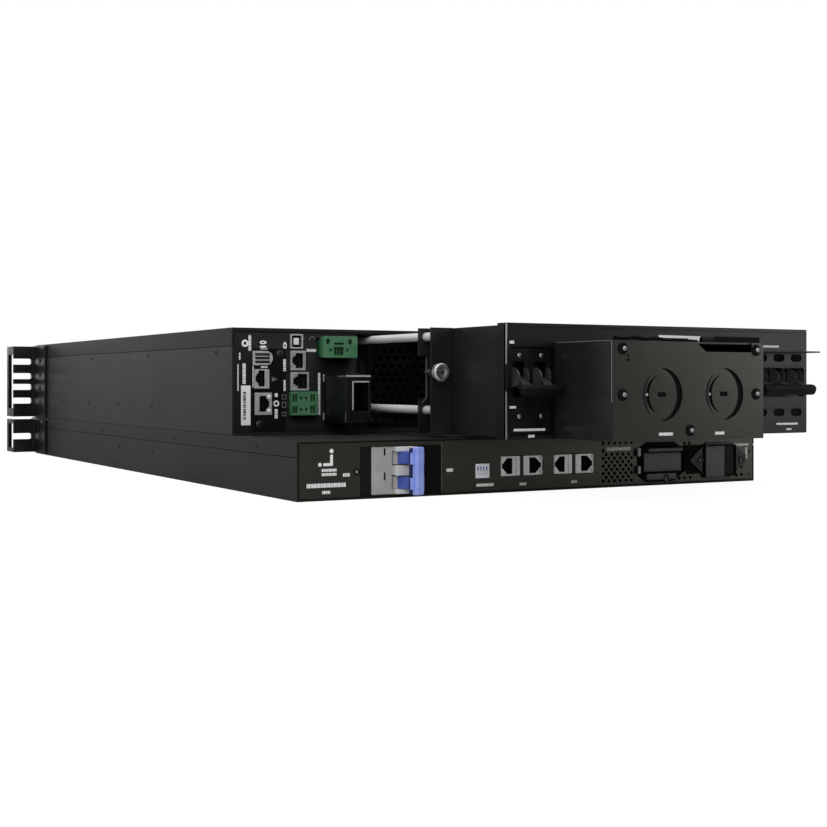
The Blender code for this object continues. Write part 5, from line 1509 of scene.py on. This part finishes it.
def make_stage():
    """A plain pale floor under the object."""
    half = 3.0
    floor_mesh = bmesh.new()
    bmesh.ops.create_grid(floor_mesh, x_segments=8, y_segments=8, size=half)
    data = bpy.data.meshes.new("floor")
    floor_mesh.to_mesh(data)
    floor_mesh.free()
    floor = bpy.data.objects.new("floor", data)
    bpy.context.scene.collection.objects.link(floor)
    pale = finish("pale_floor", grey(0.5), grey(0.53), (0.7, 0.8), patch=400, grain=30, bump=0.02, specular=0.1)
    tree = pale.node_tree
    shader = tree.nodes["Principled BSDF"]
    output = tree.nodes["Material Output"]
    glow = tree.nodes.new("ShaderNodeEmission")
    glow.inputs["Strength"].default_value = 1.2
    path = tree.nodes.new("ShaderNodeLightPath")
    share = tree.nodes.new("ShaderNodeMath")
    share.operation = "MULTIPLY"
    share.inputs[1].default_value = 0.8
    mix = tree.nodes.new("ShaderNodeMixShader")
    tree.links.new(path.outputs["Is Camera Ray"], share.inputs[0])
    tree.links.new(share.outputs["Value"], mix.inputs["Fac"])
    tree.links.new(shader.outputs["BSDF"], mix.inputs[1])
    tree.links.new(glow.outputs["Emission"], mix.inputs[2])
    tree.links.new(mix.outputs["Shader"], output.inputs["Surface"])
    data.materials.append(pale)


def make_world(to_camera=1.0, to_object=0.36):
    """A white background, and a softer one for what the object's surfaces see."""
    world = bpy.data.worlds.new("studio")
    bpy.context.scene.world = world
    world.use_nodes = True
    tree = world.node_tree
    tree.nodes.clear()
    output = tree.nodes.new("ShaderNodeOutputWorld")
    mix = tree.nodes.new("ShaderNodeMixShader")
    path = tree.nodes.new("ShaderNodeLightPath")
    tree.links.new(path.outputs["Is Camera Ray"], mix.inputs["Fac"])
    for place, strength in ((1, to_object), (2, to_camera)):
        background = tree.nodes.new("ShaderNodeBackground")
        background.inputs["Color"].default_value = (1.0, 1.0, 1.0, 1.0)
        background.inputs["Strength"].default_value = strength
        tree.links.new(background.outputs["Background"], mix.inputs[place])
    tree.links.new(mix.outputs["Shader"], output.inputs["Surface"])


def make_light(name, spot, target, size, watts):
    """A soft square area light, aimed at a target."""
    lamp = bpy.data.lights.new(name, "AREA")
    lamp.shape = "RECTANGLE"
    lamp.size, lamp.size_y = size
    lamp.energy = watts
    made = bpy.data.objects.new(name, lamp)
    made.location = spot
    made.rotation_euler = (Vector(target) - Vector(spot)).to_track_quat("-Z", "Y").to_euler()
    bpy.context.scene.collection.objects.link(made)


def make_lights():
    middle = (0.0, 0.1, 0.06)
    make_light("top", (0.2, 0.3, 2.2), middle, (2.6, 2.6), 30)
    make_light("rear", (-1.86, 1.89, 0.45), middle, (0.8, 1.5), 9)
    make_light("fill", (1.4, 1.9, 1.3), middle, (1.0, 1.0), 15)
    make_light("front", (0.2, -2.7, 0.6), middle, (1.4, 1.1), 5.5)


def make_camera():
    """The photograph's view: level, behind the object and beyond its left flank."""
    lens = bpy.data.cameras.new("camera")
    lens.lens = 59.3
    lens.sensor_width = 36.0
    lens.shift_y = -0.0398
    lens.clip_start = 0.01
    camera = bpy.data.objects.new("camera", lens)
    camera.location = (0.6124, 1.2070, 0.0861)
    camera.rotation_euler = Vector((-0.4875, -0.8731, 0.0)).to_track_quat("-Z", "Y").to_euler()
    bpy.context.scene.collection.objects.link(camera)
    bpy.context.scene.camera = camera


make_stage()
make_world()
make_lights()
make_camera()
bpy.context.scene.view_settings.view_transform = "Standard"

bpy.context.view_layer.update()
